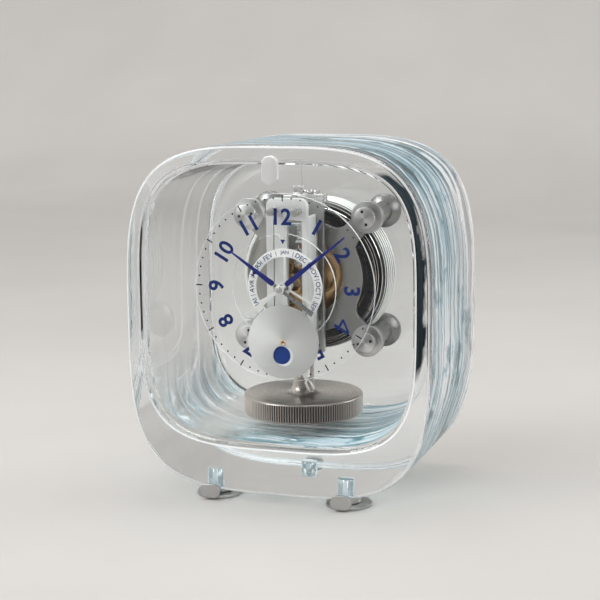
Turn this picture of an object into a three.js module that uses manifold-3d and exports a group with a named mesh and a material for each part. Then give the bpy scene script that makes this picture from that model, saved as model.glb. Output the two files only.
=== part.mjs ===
// Atmospheric clock: a thick crystal case with a torsion balance and a ribbed capsule that winds it.
// Millimetres, +Z up. Depths are measured back from the crystal's front face, heights up from its
// underside; the last group moves that datum to the middle of the footprint, on the standing surface.
import * as THREE from "three";
import { mergeVertices } from "three/addons/utils/BufferGeometryUtils.js";
import Module from "manifold-3d";

const wasm = await Module();
wasm.setup();

// Driving dimensions
const clearance = 0.3; // between faces that meet
const overrun = 2; // how far a cutting tool passes the face that it cuts
const sink = 1; // how far a joined piece runs into its neighbour
const runningGap = 0.5; // round a shaft that turns
// Facets round a full turn, and arc for the steps of a curve in an outline
const facets = { ring: 36, disc: 28, drum: 28, half: 20, rod: 12, pin: 8, arbor: 6, arc: 4 };

const crystal = {
  width: 197.4, height: 218, depth: 123.5, bevel: 2.2,
  openingWidth: 176.2, openingHeight: 176.9, floor: 30.4, lip: 1.8,
  backWall: 12, ledge: 1.4, fillet: 9,
};
const outlinePower = 3.66; // superellipse powers
const openingPower = 3.89;
const draftShare = 0.967; // the cavity's back against its front
const pane = { setBack: 4.2, thickness: 4, bevel: 0.8 };
const pull = {
  width: 10, height: 17.6, thickness: 4.3, above: 203,
  bossWidth: 7, bossHeight: 7, bossDrop: 4.6, screwRadius: 1.75,
};

const foot = {
  spread: 43.2, inset: 15, rise: 5.5, plateWidth: 13.6, plateHeight: 9.2, plateThickness: 2.5,
  plateCentre: 0.2, armWidth: 8.4, armThickness: 2.6, bossRadius: 8, bossHeight: 7,
  studRadius: 5.3, frontStud: 12.5, rearStud: 4, screwRadius: 2.4, screwHeight: 6.5, padGap: 0.6,
};
const pad = { radius: foot.inset - foot.padGap, thickness: 1.9, bevel: 0.5 };

const post = {
  spread: 40.2, low: 88.2, high: 168.5, radius: 6.2, flangeRadius: 11.2, flangeThickness: 5.2, cone: 1.6,
  capRadius: 6.9, capFront: 60.6, capHeight: 6, capFlangeRadius: 10.4, capFlange: 1.4, capBevel: 0.5,
  shankRadius: 3.4, shankLength: 9, pinHoleRadius: 0.75, pinHoleDepth: 2, pinHoleOffset: 4.3,
  screwRadius: 3.2, screwLength: 9, headRadius: 6.6, headThickness: 2.2, socketRadius: 2.2,
  socketDepth: 1.1,
};
const pinHoleTurns = { top_left: 12, top_right: -72, bottom_left: 72, bottom_right: 16 }; // degrees

const plate = { thickness: 3.7, discRadius: 37, armWidth: 13, filletRadius: 9, holeRadius: 24 };

const cage = {
  front: 27, halfWidth: 13.4, thickness: 4, top: 183.5, blockHeight: 13.5, bottom: 71, baseHeight: 13,
  leftBar: 4.7, slit: 0.6, centreBar: 8.3, rightBar: 3.5, crown: 5,
  cheek: 2, cheekDepth: 14, cheekTop: 172, cheekLow: 84, bridge: 3, bridgeTop: 166, bridgeLow: 96,
  rearFront: 60.4, rearThickness: 3.5, rearTop: 178, rearLow: 80, spacerRadius: 4,
  pillarRadius: 1.9, pillarInset: 4, windowWidth: 15, windowHeight: 30,
};

const dial = {
  centre: 128.3, front: 19.9, thickness: 1.8, radius: 59, band: 25.2,
  markerWidth: 3.2, markerHeight: 2.8, markerDrop: 3.4, swell: 4.6,
  screwSpread: 7.9, screwTop: 175.6, lowScrewSpread: 11.2, screwLow: 77.3, screwDepth: 2,
  headRadius: 2.6, headThickness: 0.9, shankRadius: 1.4, spacerRadius: 2.4, tongueSink: 2.2, tongueLip: 0.55,
};
const monthRing = {
  front: 22.8, thickness: 1, radius: 24.5, holeRadius: 19.1, hubRadius: 4.2, boreRadius: 2.5, spoke: 1.3,
};
const monthSpokes = 3;
const hands = {
  minuteFront: 12, hourFront: 13.7, thickness: 0.8, minuteLength: 54, hourLength: 38.3, bladeStart: 5.2,
  bladeRoot: 3.4, bladeTip: 1.1, minuteTail: 27.2, hourTail: 25.5, tailWidth: 3.2, tailRoot: 2,
  minuteHub: 3, hourHub: 3.2, capHeight: 1.1, arborRadius: 0.8, pipeRadius: 1.9,
};
const minuteTurn = 51.2; // degrees clockwise from twelve at rest
const hourTurn = 305;

const moon = {
  centre: 94.5, front: 18.3, thickness: 0.8, radius: 23.2, rim: 1, rimDepth: 0.5, apertureRadius: 6.6,
  apertureDrop: 8.7, discRadius: 17.4, discThickness: 0.8, arborRadius: 0.9, hubRadius: 3, notchRadius: 18.6,
  jewelRadius: 1.5, jewelHeight: 0.7, jewelBevel: 0.35,
};

const drum = {
  radius: 50, ribFront: 86.5, ribBack: 103.5, ribDepth: 1.5, bore: 30, faceFront: 81.6, faceStep: 1.4,
  ledgeWidth: 6, collarRadius: 44.9, collarWall: 1.4, collarFront: 72.7,
  shoulderFront: 77.5, shoulderWidth: 2.6, shoulderDrop: 1, edgeDrop: 2.5,
  backRadius: 46.5, backThickness: 1.9, bossRadius: 9,
  pusherRadius: 3, pusherFront: 74.6, pusherFlange: 2.4,
};
const ribCount = 6;

const balance = {
  depth: 57.7, radius: 38.7, top: 54.2, bottom: 41.3, shoulder: 1.6, shoulderRise: 0.9, fluteDepth: 0.55,
  neckRadius: 6.9, neckTop: 77, flareRadius: 13, flareHeight: 6, boreRadius: 1.2,
};
const fluteCount = 144;
const torsion = {
  wireRadius: 0.35, tailTop: 202, clampWidth: 5, clampDepth: 5, clampHeight: 4.5,
  bridgeLeft: 5.5, bridgeRight: 15.5, bridgeDepth: 10, bridgeThickness: 2.4, bridgeDrop: 2,
  legWidth: 7, discRadius: 5.2, discThickness: 1.8, discOffset: 7, discStem: 1.3,
  recessRadius: 2.3, recessDepth: 0.9,
};
const lock = {
  x: 2, depth: 46, pivotHeight: 73.5, width: 4.6, length: 18.6, loopLength: 9, wall: 1.1, thickness: 1.4,
  pivotRadius: 1.4,
};
const lockTilt = 26; // degrees from upright at rest

const train = {
  wheelThickness: 1.1, rim: 1.3, hubRadius: 2, spoke: 1, arborRadius: 0.7, toothDepth: 0.7,
  firstPlane: 33.2, secondPlane: 36.6, thirdPlane: 38.8,
  centreRadius: 7.6, thirdRadius: 5.6, escapeRadius: 4.9,
  barrelRadius: 8.6, barrelDepth: 6.4, barrelFront: 35.6,
  centrePinionRadius: 2.2, thirdPinionRadius: 3.8, escapePinionRadius: 2.8,
  palletRise: 3.2, palletSpan: 6.4, palletThickness: 1.2, palletReach: 3,
};
const teeth = { centre: 30, third: 24, escape: 15 };
const wheelSpokes = 4;
const thirdTurn = 112; // degrees from the right, seen from the arbor that drives it
const escapeTurn = 20;
const barrelTurn = -84;
const spring = { x: 5.1, depth: 36, low: 156.6, high: 168.4, radius: 1.3, wire: 0.22, end: 0.5 };
const springTurns = 12;
const springLedge = { width: 8, depth: 4, thickness: 1.2 };

// Places worked out from the sizes
const openingHeightMid = crystal.floor + crystal.openingHeight / 2;
const cavityBack = crystal.depth - crystal.backWall;
const dialHole = dial.radius - dial.band;
const rebate = pane.setBack + pane.thickness + clearance;
const plateFront = post.capFront + post.capHeight + post.capFlange + clearance;
const plateBack = plateFront + plate.thickness;
const postFront = plateBack + clearance;
const postBack = cavityBack - clearance;
const headBack = crystal.depth + clearance + post.headThickness;
const pullFront = -clearance - pull.thickness;
const padTop = -foot.rise + pad.thickness;
const footLow = padTop + clearance;
const plateMiddle = (post.low + post.high) / 2;
const cageBack = cage.front + cage.thickness;
const cheekFront = cageBack + clearance;
const bridgeFront = cheekFront + cage.cheekDepth + clearance;
const blockLow = cage.top - cage.blockHeight;
const baseTop = cage.bottom + cage.baseHeight;

// Solids
function closed(source) {
  // One closed body: shared vertices merged, slivers dropped, faces pointing out
  let geometry = source.clone();
  geometry.deleteAttribute("normal");
  geometry.deleteAttribute("uv");
  geometry = mergeVertices(geometry, 1e-4);
  const place = geometry.attributes.position.array;
  const kept = [];
  const index = geometry.index.array;
  let volume = 0;
  for (let i = 0; i < index.length; i += 3) {
    const [a, b, c] = [index[i], index[i + 1], index[i + 2]];
    if (a === b || b === c || c === a) continue;
    kept.push(a, b, c);
    const [p, q, r] = [a, b, c].map((v) => new THREE.Vector3().fromArray(place, 3 * v));
    volume += p.dot(q.cross(r));
  }
  if (volume < 0) kept.reverse();
  geometry.setIndex(kept);
  return geometry;
}
function solid(geometry) {
  const body = closed(geometry);
  return new wasm.Manifold(new wasm.Mesh({
    numProp: 3,
    vertProperties: new Float32Array(body.attributes.position.array),
    triVerts: new Uint32Array(body.index.array),
  }));
}
function geometryOf(manifold) {
  const mesh = manifold.getMesh();
  const geometry = new THREE.BufferGeometry();
  geometry.setAttribute("position", new THREE.BufferAttribute(new Float32Array(mesh.vertProperties), 3));
  geometry.setIndex(new THREE.BufferAttribute(new Uint32Array(mesh.triVerts), 1));
  return geometry;
}
const join = (...solids) => solids.reduce((sum, next) => sum.add(next));
const cut = (body, ...tools) => tools.reduce((rest, tool) => rest.subtract(tool), body);

// Shapes
function box(x0, x1, y0, y1, z0, z1) {
  const geometry = new THREE.BoxGeometry(x1 - x0, y1 - y0, z1 - z0);
  return solid(geometry.translate((x0 + x1) / 2, (y0 + y1) / 2, (z0 + z1) / 2));
}
function plateAlongY(shape, y0, y1, curveSegments) {
  // A shape drawn as the front view, in x and z
  const geometry = new THREE.ExtrudeGeometry(shape, { depth: y1 - y0, bevelEnabled: false, curveSegments });
  return solid(geometry.rotateX(Math.PI / 2).translate(0, y1, 0));
}
function turnedY(profile, x, z, segments = facets.rod) {
  // Profile points are [radius, depth]; the axis runs front to back
  const points = profile.map(([radius, depth]) => new THREE.Vector2(radius, depth));
  return solid(new THREE.LatheGeometry(points, segments).translate(x, 0, z));
}
function turnedZ(profile, x, y, segments = facets.rod) {
  const points = profile.map(([radius, height]) => new THREE.Vector2(radius, height));
  return solid(new THREE.LatheGeometry(points, segments).rotateX(Math.PI / 2).translate(x, y, 0));
}
const rodProfile = (radius, from, to) => [[0, from], [radius, from], [radius, to], [0, to]];
const rodY = (x, z, radius, y0, y1, segments) => turnedY(rodProfile(radius, y0, y1), x, z, segments);
const rodZ = (x, y, radius, z0, z1, segments) => turnedZ(rodProfile(radius, z0, z1), x, y, segments);
function ringY(x, z, outer, inner, y0, y1, segments) {
  return turnedY([[inner, y0], [outer, y0], [outer, y1], [inner, y1], [inner, y0]], x, z, segments);
}
function circle(x, z, radius) {
  const path = new THREE.Path();
  path.absarc(x, z, radius, 0, 2 * Math.PI);
  return path;
}
function stadium(x, z, width, height) {
  // A slot outline with its round ends on the longer way
  const shape = new THREE.Shape();
  const radius = Math.min(width, height) / 2;
  const [dx, dz] = [width / 2 - radius, height / 2 - radius];
  const upright = height > width;
  const start = upright ? 0 : Math.PI / 2;
  shape.absarc(x - (upright ? 0 : dx), z + dz, radius, start, start + Math.PI);
  shape.absarc(x + (upright ? 0 : dx), z - dz, radius, start + Math.PI, start + 2 * Math.PI);
  shape.closePath();
  return shape;
}
function superellipse(halfWidth, halfHeight, power, count) {
  const bend = (value, half) => half * Math.sign(value) * Math.abs(value) ** (2 / power);
  return Array.from({ length: count }, (_, i) => {
    const angle = (2 * Math.PI * (i + 0.5)) / count;
    return [bend(Math.cos(angle), halfWidth), bend(Math.sin(angle), halfHeight)];
  });
}
function loft(rings) {
  // Rings of equal count, each {outline, depth, height}; the two ends are closed by fans
  const count = rings[0].outline.length;
  const places = [];
  for (const { outline, depth, height } of rings) {
    for (const [x, z] of outline) places.push(x, depth, height + z);
  }
  const ends = [rings[0], rings[rings.length - 1]];
  for (const { depth, height } of ends) places.push(0, depth, height);
  const index = [];
  const at = (ring, i) => ring * count + (i % count);
  for (let ring = 0; ring + 1 < rings.length; ring += 1) {
    for (let i = 0; i < count; i += 1) {
      index.push(at(ring, i), at(ring, i + 1), at(ring + 1, i + 1));
      index.push(at(ring, i), at(ring + 1, i + 1), at(ring + 1, i));
    }
  }
  const [first, last] = [rings.length * count, rings.length * count + 1];
  for (let i = 0; i < count; i += 1) {
    index.push(first, at(0, i + 1), at(0, i));
    index.push(last, at(rings.length - 1, i), at(rings.length - 1, i + 1));
  }
  const geometry = new THREE.BufferGeometry();
  geometry.setAttribute("position", new THREE.BufferAttribute(new Float32Array(places), 3));
  geometry.setIndex(index);
  return solid(geometry);
}

// Finishes
const finish = {
  crystal: { color: 0xdfe9ea, metalness: 0, roughness: 0.05, transparent: true, opacity: 0.35 },
  steel: { color: 0xa9a6a2, metalness: 0.9, roughness: 0.35 },
  silver: { color: 0xd6d4d0, metalness: 0.7, roughness: 0.4 },
  nickel: { color: 0x9a9089, metalness: 0.9, roughness: 0.32 },
  polished: { color: 0xc9c9c9, metalness: 1, roughness: 0.1 },
  blued: { color: 0x28237f, metalness: 0.3, roughness: 0.4 },
  brass: { color: 0xb08a4a, metalness: 0.9, roughness: 0.35 },
  rib: { color: 0xe3e2d8, metalness: 0.6, roughness: 0.4 },
  jewel: { color: 0xb0304a, metalness: 0, roughness: 0.1 },
  moonBlue: { color: 0x1d3f86, metalness: 0.2, roughness: 0.4 },
};
const clock = new THREE.Group();
function place(name, body, look, group = clock) {
  const geometry = geometryOf(body);
  geometry.computeVertexNormals();
  const mesh = new THREE.Mesh(geometry, new THREE.MeshStandardMaterial(finish[look]));
  mesh.name = name;
  group.add(mesh);
  return mesh;
}
const sides = [["left", -1], ["right", 1]];
const corners = [];
for (const [side, sign] of sides) {
  corners.push({ name: `top_${side}`, x: sign * post.spread, z: post.high });
  corners.push({ name: `bottom_${side}`, x: sign * post.spread, z: post.low });
}
const feet = [{ name: "rear", x: 0, y: crystal.depth - foot.inset, outward: 1, studTop: foot.rearStud }];
for (const [side, sign] of sides) {
  feet.push({
    name: `front_${side}`, x: sign * foot.spread, y: foot.inset, outward: -1, studTop: foot.frontStud,
  });
}

// Crystal case
const outlineCount = 52; // points round the case and its opening
function caseOutline(grow) {
  const [halfWidth, halfHeight] = [crystal.width / 2 + grow, crystal.height / 2 + grow];
  return superellipse(halfWidth, halfHeight, outlinePower, outlineCount);
}
function caseBody(grow = 0) {
  const height = crystal.height / 2;
  const ring = (inset, depth) => ({ outline: caseOutline(grow - inset), depth, height });
  return loft([
    ring(crystal.bevel, -grow),
    ring(0, crystal.bevel),
    ring(0, crystal.depth - crystal.bevel),
    ring(crystal.bevel, crystal.depth + grow),
  ]);
}
function openingRing(grow, depth, share = 1) {
  const halfWidth = (share * crystal.openingWidth) / 2 + grow;
  const halfHeight = (share * crystal.openingHeight) / 2 + grow;
  const outline = superellipse(halfWidth, halfHeight, openingPower, outlineCount);
  return { outline, depth, height: openingHeightMid };
}
function cavity() {
  const rings = [
    openingRing(crystal.lip + overrun, -overrun),
    openingRing(0, crystal.lip),
    openingRing(0, rebate),
    openingRing(-crystal.ledge, rebate),
  ];
  const steps = 3;
  const filletStart = cavityBack - crystal.fillet;
  for (let i = 0; i <= steps; i += 1) {
    const angle = (Math.PI / 2) * (i / steps);
    const inset = crystal.fillet * (1 - Math.cos(angle));
    const depth = filletStart + crystal.fillet * Math.sin(angle);
    rings.push(openingRing(-crystal.ledge - inset, depth, draftShare));
  }
  return loft(rings);
}
let cabinet = cut(caseBody(), cavity());
for (const { x, y, studTop } of feet) {
  cabinet = cut(cabinet, rodZ(x, y, foot.studRadius + clearance, -overrun, studTop + clearance));
}
const throughWall = [cavityBack - overrun, crystal.depth + overrun];
for (const { x, z } of corners) {
  cabinet = cut(cabinet, rodY(x, z, post.screwRadius + clearance, ...throughWall, facets.pin));
}
place("crystal_cabinet", cabinet, "crystal");

// Lift-off front pane and its pull
const paneFront = pane.setBack;
const paneBack = pane.setBack + pane.thickness;
const pullBossHeight = pull.above - pull.bossDrop;
place("front_pane", cut(
  loft([
    openingRing(-clearance - pane.bevel, paneFront),
    openingRing(-clearance, paneFront + pane.bevel),
    openingRing(-clearance, paneBack),
  ]),
  rodY(0, pullBossHeight, pull.screwRadius + clearance, paneFront - overrun, paneBack + overrun),
), "crystal");
place("pane_pull", join(
  plateAlongY(stadium(0, pull.above, pull.width, pull.height), pullFront, -clearance, facets.arc),
  plateAlongY(
    stadium(0, pullBossHeight, pull.bossWidth, pull.bossHeight), pullFront, paneFront - clearance, facets.arc,
  ),
  rodY(0, pullBossHeight, pull.screwRadius, pullFront, paneBack),
), "silver");

// Feet: a bracket whose plate shows in front of the crystal, and a levelling pad that screws into it
for (const { name, x, y, outward, studTop } of feet) {
  const face = outward < 0 ? -clearance : crystal.depth + clearance;
  const [plateNear, plateFar] = [face, face + outward * foot.plateThickness];
  const outline = stadium(x, foot.plateCentre, foot.plateWidth, foot.plateHeight);
  const armTop = footLow + foot.armThickness;
  const halfArm = foot.armWidth / 2;
  const bracket = cut(
    join(
      plateAlongY(outline, Math.min(plateNear, plateFar), Math.max(plateNear, plateFar), facets.arc),
      box(x - halfArm, x + halfArm, Math.min(plateFar, y), Math.max(plateFar, y), footLow, armTop),
      rodZ(x, y, foot.bossRadius, footLow, footLow + foot.bossHeight),
    ),
    caseBody(clearance),
  );
  const stud = rodZ(x, y, foot.studRadius, footLow, studTop);
  const boreTop = footLow + foot.screwHeight + clearance;
  const bore = rodZ(x, y, foot.screwRadius + clearance, footLow - overrun, boreTop, facets.pin);
  place(`foot_${name}`, cut(join(bracket, stud), bore), "steel");
  place(`levelling_pad_${name}`, turnedZ([
    [0, -foot.rise],
    [pad.radius - pad.bevel, -foot.rise],
    [pad.radius, -foot.rise + pad.bevel],
    [pad.radius, padTop - pad.bevel],
    [pad.radius - pad.bevel, padTop],
    [foot.screwRadius, padTop],
    [foot.screwRadius, footLow + foot.screwHeight],
    [0, footLow + foot.screwHeight],
  ], x, y), "steel");
}

// Posts that carry the movement on the crystal's back wall, each with a front cap and a rear screw
for (const { name, x, z } of corners) {
  const flangeFront = postBack - post.flangeThickness;
  const frontBore = postFront + post.shankLength;
  const rearBore = postBack - post.screwLength;
  place(`post_${name}`, turnedY([
    [0, frontBore], [post.shankRadius + clearance, frontBore], [post.shankRadius + clearance, postFront],
    [post.radius, postFront], [post.radius, flangeFront - post.cone],
    [post.flangeRadius - post.cone, flangeFront], [post.flangeRadius, flangeFront + post.cone],
    [post.flangeRadius, postBack], [post.screwRadius + clearance, postBack],
    [post.screwRadius + clearance, rearBore], [0, rearBore],
  ], x, z), "steel");
  const flangeFace = post.capFront + post.capHeight;
  const shankEnd = frontBore - clearance;
  let cap = turnedY([
    [0, post.capFront], [post.capRadius - post.capBevel, post.capFront],
    [post.capRadius, post.capFront + post.capBevel], [post.capRadius, flangeFace],
    [post.capFlangeRadius, flangeFace], [post.capFlangeRadius, flangeFace + post.capFlange],
    [post.shankRadius, flangeFace + post.capFlange], [post.shankRadius, shankEnd], [0, shankEnd],
  ], x, z);
  const turn = THREE.MathUtils.degToRad(pinHoleTurns[name]);
  for (const way of [-1, 1]) {
    const holeX = x + way * post.pinHoleOffset * Math.cos(turn);
    const holeZ = z + way * post.pinHoleOffset * Math.sin(turn);
    const holeBack = post.capFront + post.pinHoleDepth;
    cap = cut(cap, rodY(holeX, holeZ, post.pinHoleRadius, post.capFront - overrun, holeBack, facets.arc));
  }
  place(`post_cap_${name}`, cap, "steel");
  const socket = rodY(x, z, post.socketRadius, headBack - post.socketDepth, headBack + overrun, facets.arc);
  place(`post_screw_${name}`, cut(turnedY([
    [0, rearBore + clearance], [post.screwRadius, rearBore + clearance],
    [post.screwRadius, crystal.depth + clearance], [post.headRadius, crystal.depth + clearance],
    [post.headRadius, headBack], [0, headBack],
  ], x, z), socket), "steel");
}

// Frame plate: a round centre with four arms that end in ears on the posts
function armBetween(x, z) {
  // A strip from the centre to an ear, widened by round fillets where it meets the disc
  const reach = Math.hypot(x, z - plateMiddle);
  const offset = plate.armWidth / 2 + plate.filletRadius;
  const flare = Math.sqrt((plate.discRadius + plate.filletRadius) ** 2 - offset ** 2);
  const shape = new THREE.Shape();
  const half = plate.armWidth / 2;
  shape.moveTo(0, -offset);
  shape.lineTo(flare, -offset);
  shape.lineTo(reach, -half);
  shape.lineTo(reach, half);
  shape.lineTo(flare, offset);
  shape.lineTo(0, offset);
  shape.closePath();
  const strip = new THREE.ExtrudeGeometry(shape, { depth: plate.thickness, bevelEnabled: false });
  const turn = Math.atan2(z - plateMiddle, x);
  strip.rotateX(Math.PI / 2).translate(0, plateBack, 0);
  let arm = solid(strip.rotateY(-turn).translate(0, 0, plateMiddle));
  for (const side of [-1, 1]) {
    const [along, across] = [flare, side * offset];
    const cx = along * Math.cos(turn) - across * Math.sin(turn);
    const cz = along * Math.sin(turn) + across * Math.cos(turn) + plateMiddle;
    arm = cut(arm, rodY(cx, cz, plate.filletRadius, plateFront - overrun, plateBack + overrun));
  }
  return arm;
}
const throughPlate = [plateFront - overrun, plateBack + overrun];
let framePlate = rodY(0, plateMiddle, plate.discRadius, plateFront, plateBack, facets.ring);
for (const { x, z } of corners) {
  framePlate = join(framePlate, armBetween(x, z), rodY(x, z, post.capFlangeRadius, plateFront, plateBack));
}
framePlate = cut(framePlate, rodY(0, plateMiddle, plate.holeRadius, ...throughPlate, facets.disc));
for (const { x, z } of corners) {
  framePlate = cut(framePlate, rodY(x, z, post.shankRadius + clearance, ...throughPlate, facets.pin));
}
place("frame_plate", framePlate, "steel");

// Movement cage: front plate with bars, cheeks, a bridge between them, and the rear plate
const halfCage = cage.halfWidth;
const leftBarEdge = -halfCage + cage.leftBar;
const centreBarEdge = leftBarEdge + cage.slit + cage.centreBar;
const rightBarEdge = halfCage - cage.rightBar;
const through = [cage.front - overrun, cageBack + overrun];
function frontPlate() {
  const crownLow = cage.top - cage.crown;
  const outline = new THREE.Shape();
  outline.moveTo(-halfCage, cage.bottom);
  outline.lineTo(halfCage, cage.bottom);
  outline.lineTo(halfCage, crownLow);
  outline.absellipse(halfCage - cage.crown, crownLow, cage.crown, cage.crown, 0, Math.PI / 2);
  outline.lineTo(-halfCage + cage.crown, cage.top);
  outline.absellipse(-halfCage + cage.crown, crownLow, cage.crown, cage.crown, Math.PI / 2, Math.PI);
  outline.closePath();
  return cut(
    plateAlongY(outline, cage.front, cageBack, facets.arc),
    box(leftBarEdge, leftBarEdge + cage.slit, ...through, baseTop, blockLow),
    box(centreBarEdge, rightBarEdge, ...through, baseTop, blockLow),
    rodY(0, dial.centre, hands.pipeRadius + runningGap, ...through),
  );
}
const dialScrewPlaces = [];
for (const [side, sign] of sides) {
  dialScrewPlaces.push({ name: `top_${side}`, x: sign * dial.screwSpread, z: dial.screwTop });
  dialScrewPlaces.push({ name: `bottom_${side}`, x: sign * dial.lowScrewSpread, z: dial.screwLow });
}
let front = frontPlate();
const screwHole = [cage.front - overrun, cage.front + dial.screwDepth];
for (const { x, z } of dialScrewPlaces) {
  front = cut(front, rodY(x, z, dial.shankRadius + clearance, ...screwHole, facets.pin));
}
const moonPostHole = rodY(0, moon.centre, moon.arborRadius + runningGap, ...through, facets.pin);
function arborFrom(place, turn, distance) {
  // The place of an arbor that is driven from another, at an angle from the right
  const angle = THREE.MathUtils.degToRad(turn);
  return { x: place.x + distance * Math.cos(angle), z: place.z + distance * Math.sin(angle) };
}
const centre = { x: 0, z: dial.centre };
const third = arborFrom(centre, thirdTurn, train.centreRadius + train.thirdPinionRadius + clearance);
const escape = arborFrom(third, escapeTurn, train.thirdRadius + train.escapePinionRadius + clearance);
const barrel = arborFrom(centre, barrelTurn, train.barrelRadius + train.centrePinionRadius + clearance);
const pallet = { x: escape.x, z: escape.z + train.escapeRadius + train.palletRise };
place("front_plate", cut(front, moonPostHole), "silver");

const springFoot = spring.low - spring.wire - clearance;
const springHead = spring.high + spring.wire + clearance;
function springLedgeAt(height, way) {
  // A shelf of the right cheek that one end of the return spring bears on
  const [near, far] = [height, height + way * springLedge.thickness];
  return box(
    halfCage - cage.cheek - springLedge.width, halfCage - cage.cheek / 2,
    spring.depth - springLedge.depth / 2, spring.depth + springLedge.depth / 2,
    Math.min(near, far), Math.max(near, far),
  );
}
for (const [side, sign] of sides) {
  const [inner, outer] = [sign * (halfCage - cage.cheek), sign * halfCage];
  let cheek = box(
    Math.min(inner, outer), Math.max(inner, outer), cheekFront, cheekFront + cage.cheekDepth,
    cage.cheekLow, cage.cheekTop,
  );
  if (sign > 0) cheek = join(cheek, springLedgeAt(springFoot, -1), springLedgeAt(springHead, 1));
  place(`cheek_${side}`, cheek, "silver");
}
let bridge = box(-halfCage, halfCage, bridgeFront, bridgeFront + cage.bridge, cage.bridgeLow, cage.bridgeTop);
const throughBridge = [bridgeFront - overrun, bridgeFront + cage.bridge + overrun];
for (const { x, z } of [centre, third, escape, barrel, pallet]) {
  bridge = cut(bridge, rodY(x, z, train.arborRadius + runningGap, ...throughBridge, facets.pin));
}
place("train_bridge", bridge, "steel");

const rearBack = cage.rearFront + cage.rearThickness;
let rear = box(-halfCage, halfCage, cage.rearFront, rearBack, cage.rearLow, cage.rearTop);
const halfWindow = { width: cage.windowWidth / 2, height: cage.windowHeight / 2 };
rear = cut(rear, box(
  -halfWindow.width, halfWindow.width, cage.rearFront - overrun, rearBack + overrun,
  plateMiddle - halfWindow.height, plateMiddle + halfWindow.height,
));
for (const sign of [-1, 1]) {
  const z = plateMiddle + sign * (plate.discRadius + plate.holeRadius) / 2;
  rear = join(rear, rodY(0, z, cage.spacerRadius, rearBack - sink, plateFront - clearance));
}
const pillarFront = bridgeFront + cage.bridge + clearance;
for (const sign of [-1, 1]) {
  for (const z of [cage.bridgeLow + cage.pillarInset, cage.bridgeTop - cage.pillarInset]) {
    const x = sign * (halfCage - cage.pillarInset);
    rear = join(rear, rodY(x, z, cage.pillarRadius, pillarFront, cage.rearFront + sink, facets.pin));
  }
}
place("rear_plate", rear, "steel");

// Dial ring of clear crystal with its index tongue, held by four screws
function dialOutline() {
  const shape = new THREE.Shape();
  shape.absarc(0, dial.centre, dial.radius, 0, 2 * Math.PI);
  shape.holes.push(circle(0, dial.centre, dialHole));
  return shape;
}
function indexTongue() {
  // Swells from the inner rim and ends in the small triangle that points at the month ring
  const rimHeight = dial.centre + dialHole;
  const [root, lip] = [rimHeight + dial.tongueSink, rimHeight - dial.tongueLip];
  const top = rimHeight - dial.markerDrop;
  const half = dial.markerWidth / 2;
  const shape = new THREE.Shape();
  shape.moveTo(-dial.swell, root);
  shape.lineTo(-dial.swell, lip);
  shape.quadraticCurveTo(-half, lip, -half, top);
  shape.lineTo(0, top - dial.markerHeight);
  shape.lineTo(half, top);
  shape.quadraticCurveTo(half, lip, dial.swell, lip);
  shape.lineTo(dial.swell, root);
  shape.closePath();
  return shape;
}
const dialBack = dial.front + dial.thickness;
let dialRing = join(
  plateAlongY(dialOutline(), dial.front, dialBack, facets.half),
  plateAlongY(indexTongue(), dial.front, dialBack, facets.arc),
);
const throughDial = [dial.front - overrun, dialBack + overrun];
dialRing = cut(dialRing, rodY(0, moon.centre, moon.notchRadius, ...throughDial, facets.ring));
for (const { x, z } of dialScrewPlaces) {
  dialRing = cut(dialRing, rodY(x, z, dial.shankRadius + clearance, ...throughDial, facets.pin));
}
place("dial_ring", dialRing, "crystal");
for (const { name, x, z } of dialScrewPlaces) {
  // A screw whose shoulder keeps the dial off the cage
  const hidden = name.startsWith("bottom");
  const headFront = hidden ? dial.front : dial.front - clearance - dial.headThickness;
  const headFace = dial.front - clearance;
  const screwBack = cage.front + dial.screwDepth - clearance;
  const head = hidden ? [[0, headFront], [dial.shankRadius, headFront]] : [
    [0, headFront], [dial.headRadius, headFront], [dial.headRadius, headFace], [dial.shankRadius, headFace],
  ];
  place(`dial_screw_${name}`, turnedY([
    ...head, [dial.shankRadius, dialBack + clearance], [dial.spacerRadius, dialBack + clearance],
    [dial.spacerRadius, cage.front - clearance], [dial.shankRadius, cage.front - clearance],
    [dial.shankRadius, screwBack], [0, screwBack],
  ], x, z), "steel");
}

// Month ring on three spokes
const monthBack = monthRing.front + monthRing.thickness;
function spokes(count, width, inner, outer, y0, y1, x, z) {
  // Bars that run from a hub into the rim
  const bars = [];
  for (let i = 0; i < count; i += 1) {
    const bar = new THREE.BoxGeometry(width, y1 - y0, outer - inner);
    bar.translate(0, (y0 + y1) / 2, (inner + outer) / 2);
    bars.push(solid(bar.rotateY((2 * Math.PI * i) / count).translate(x, 0, z)));
  }
  return bars;
}
place("month_ring", join(
  ringY(0, dial.centre, monthRing.radius, monthRing.holeRadius, monthRing.front, monthBack, facets.ring),
  ringY(0, dial.centre, monthRing.hubRadius, monthRing.boreRadius, monthRing.front, monthBack, facets.rod),
  ...spokes(
    monthSpokes, monthRing.spoke, monthRing.hubRadius - sink, monthRing.holeRadius + sink,
    monthRing.front, monthBack, 0, dial.centre,
  ),
), "silver");

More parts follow.
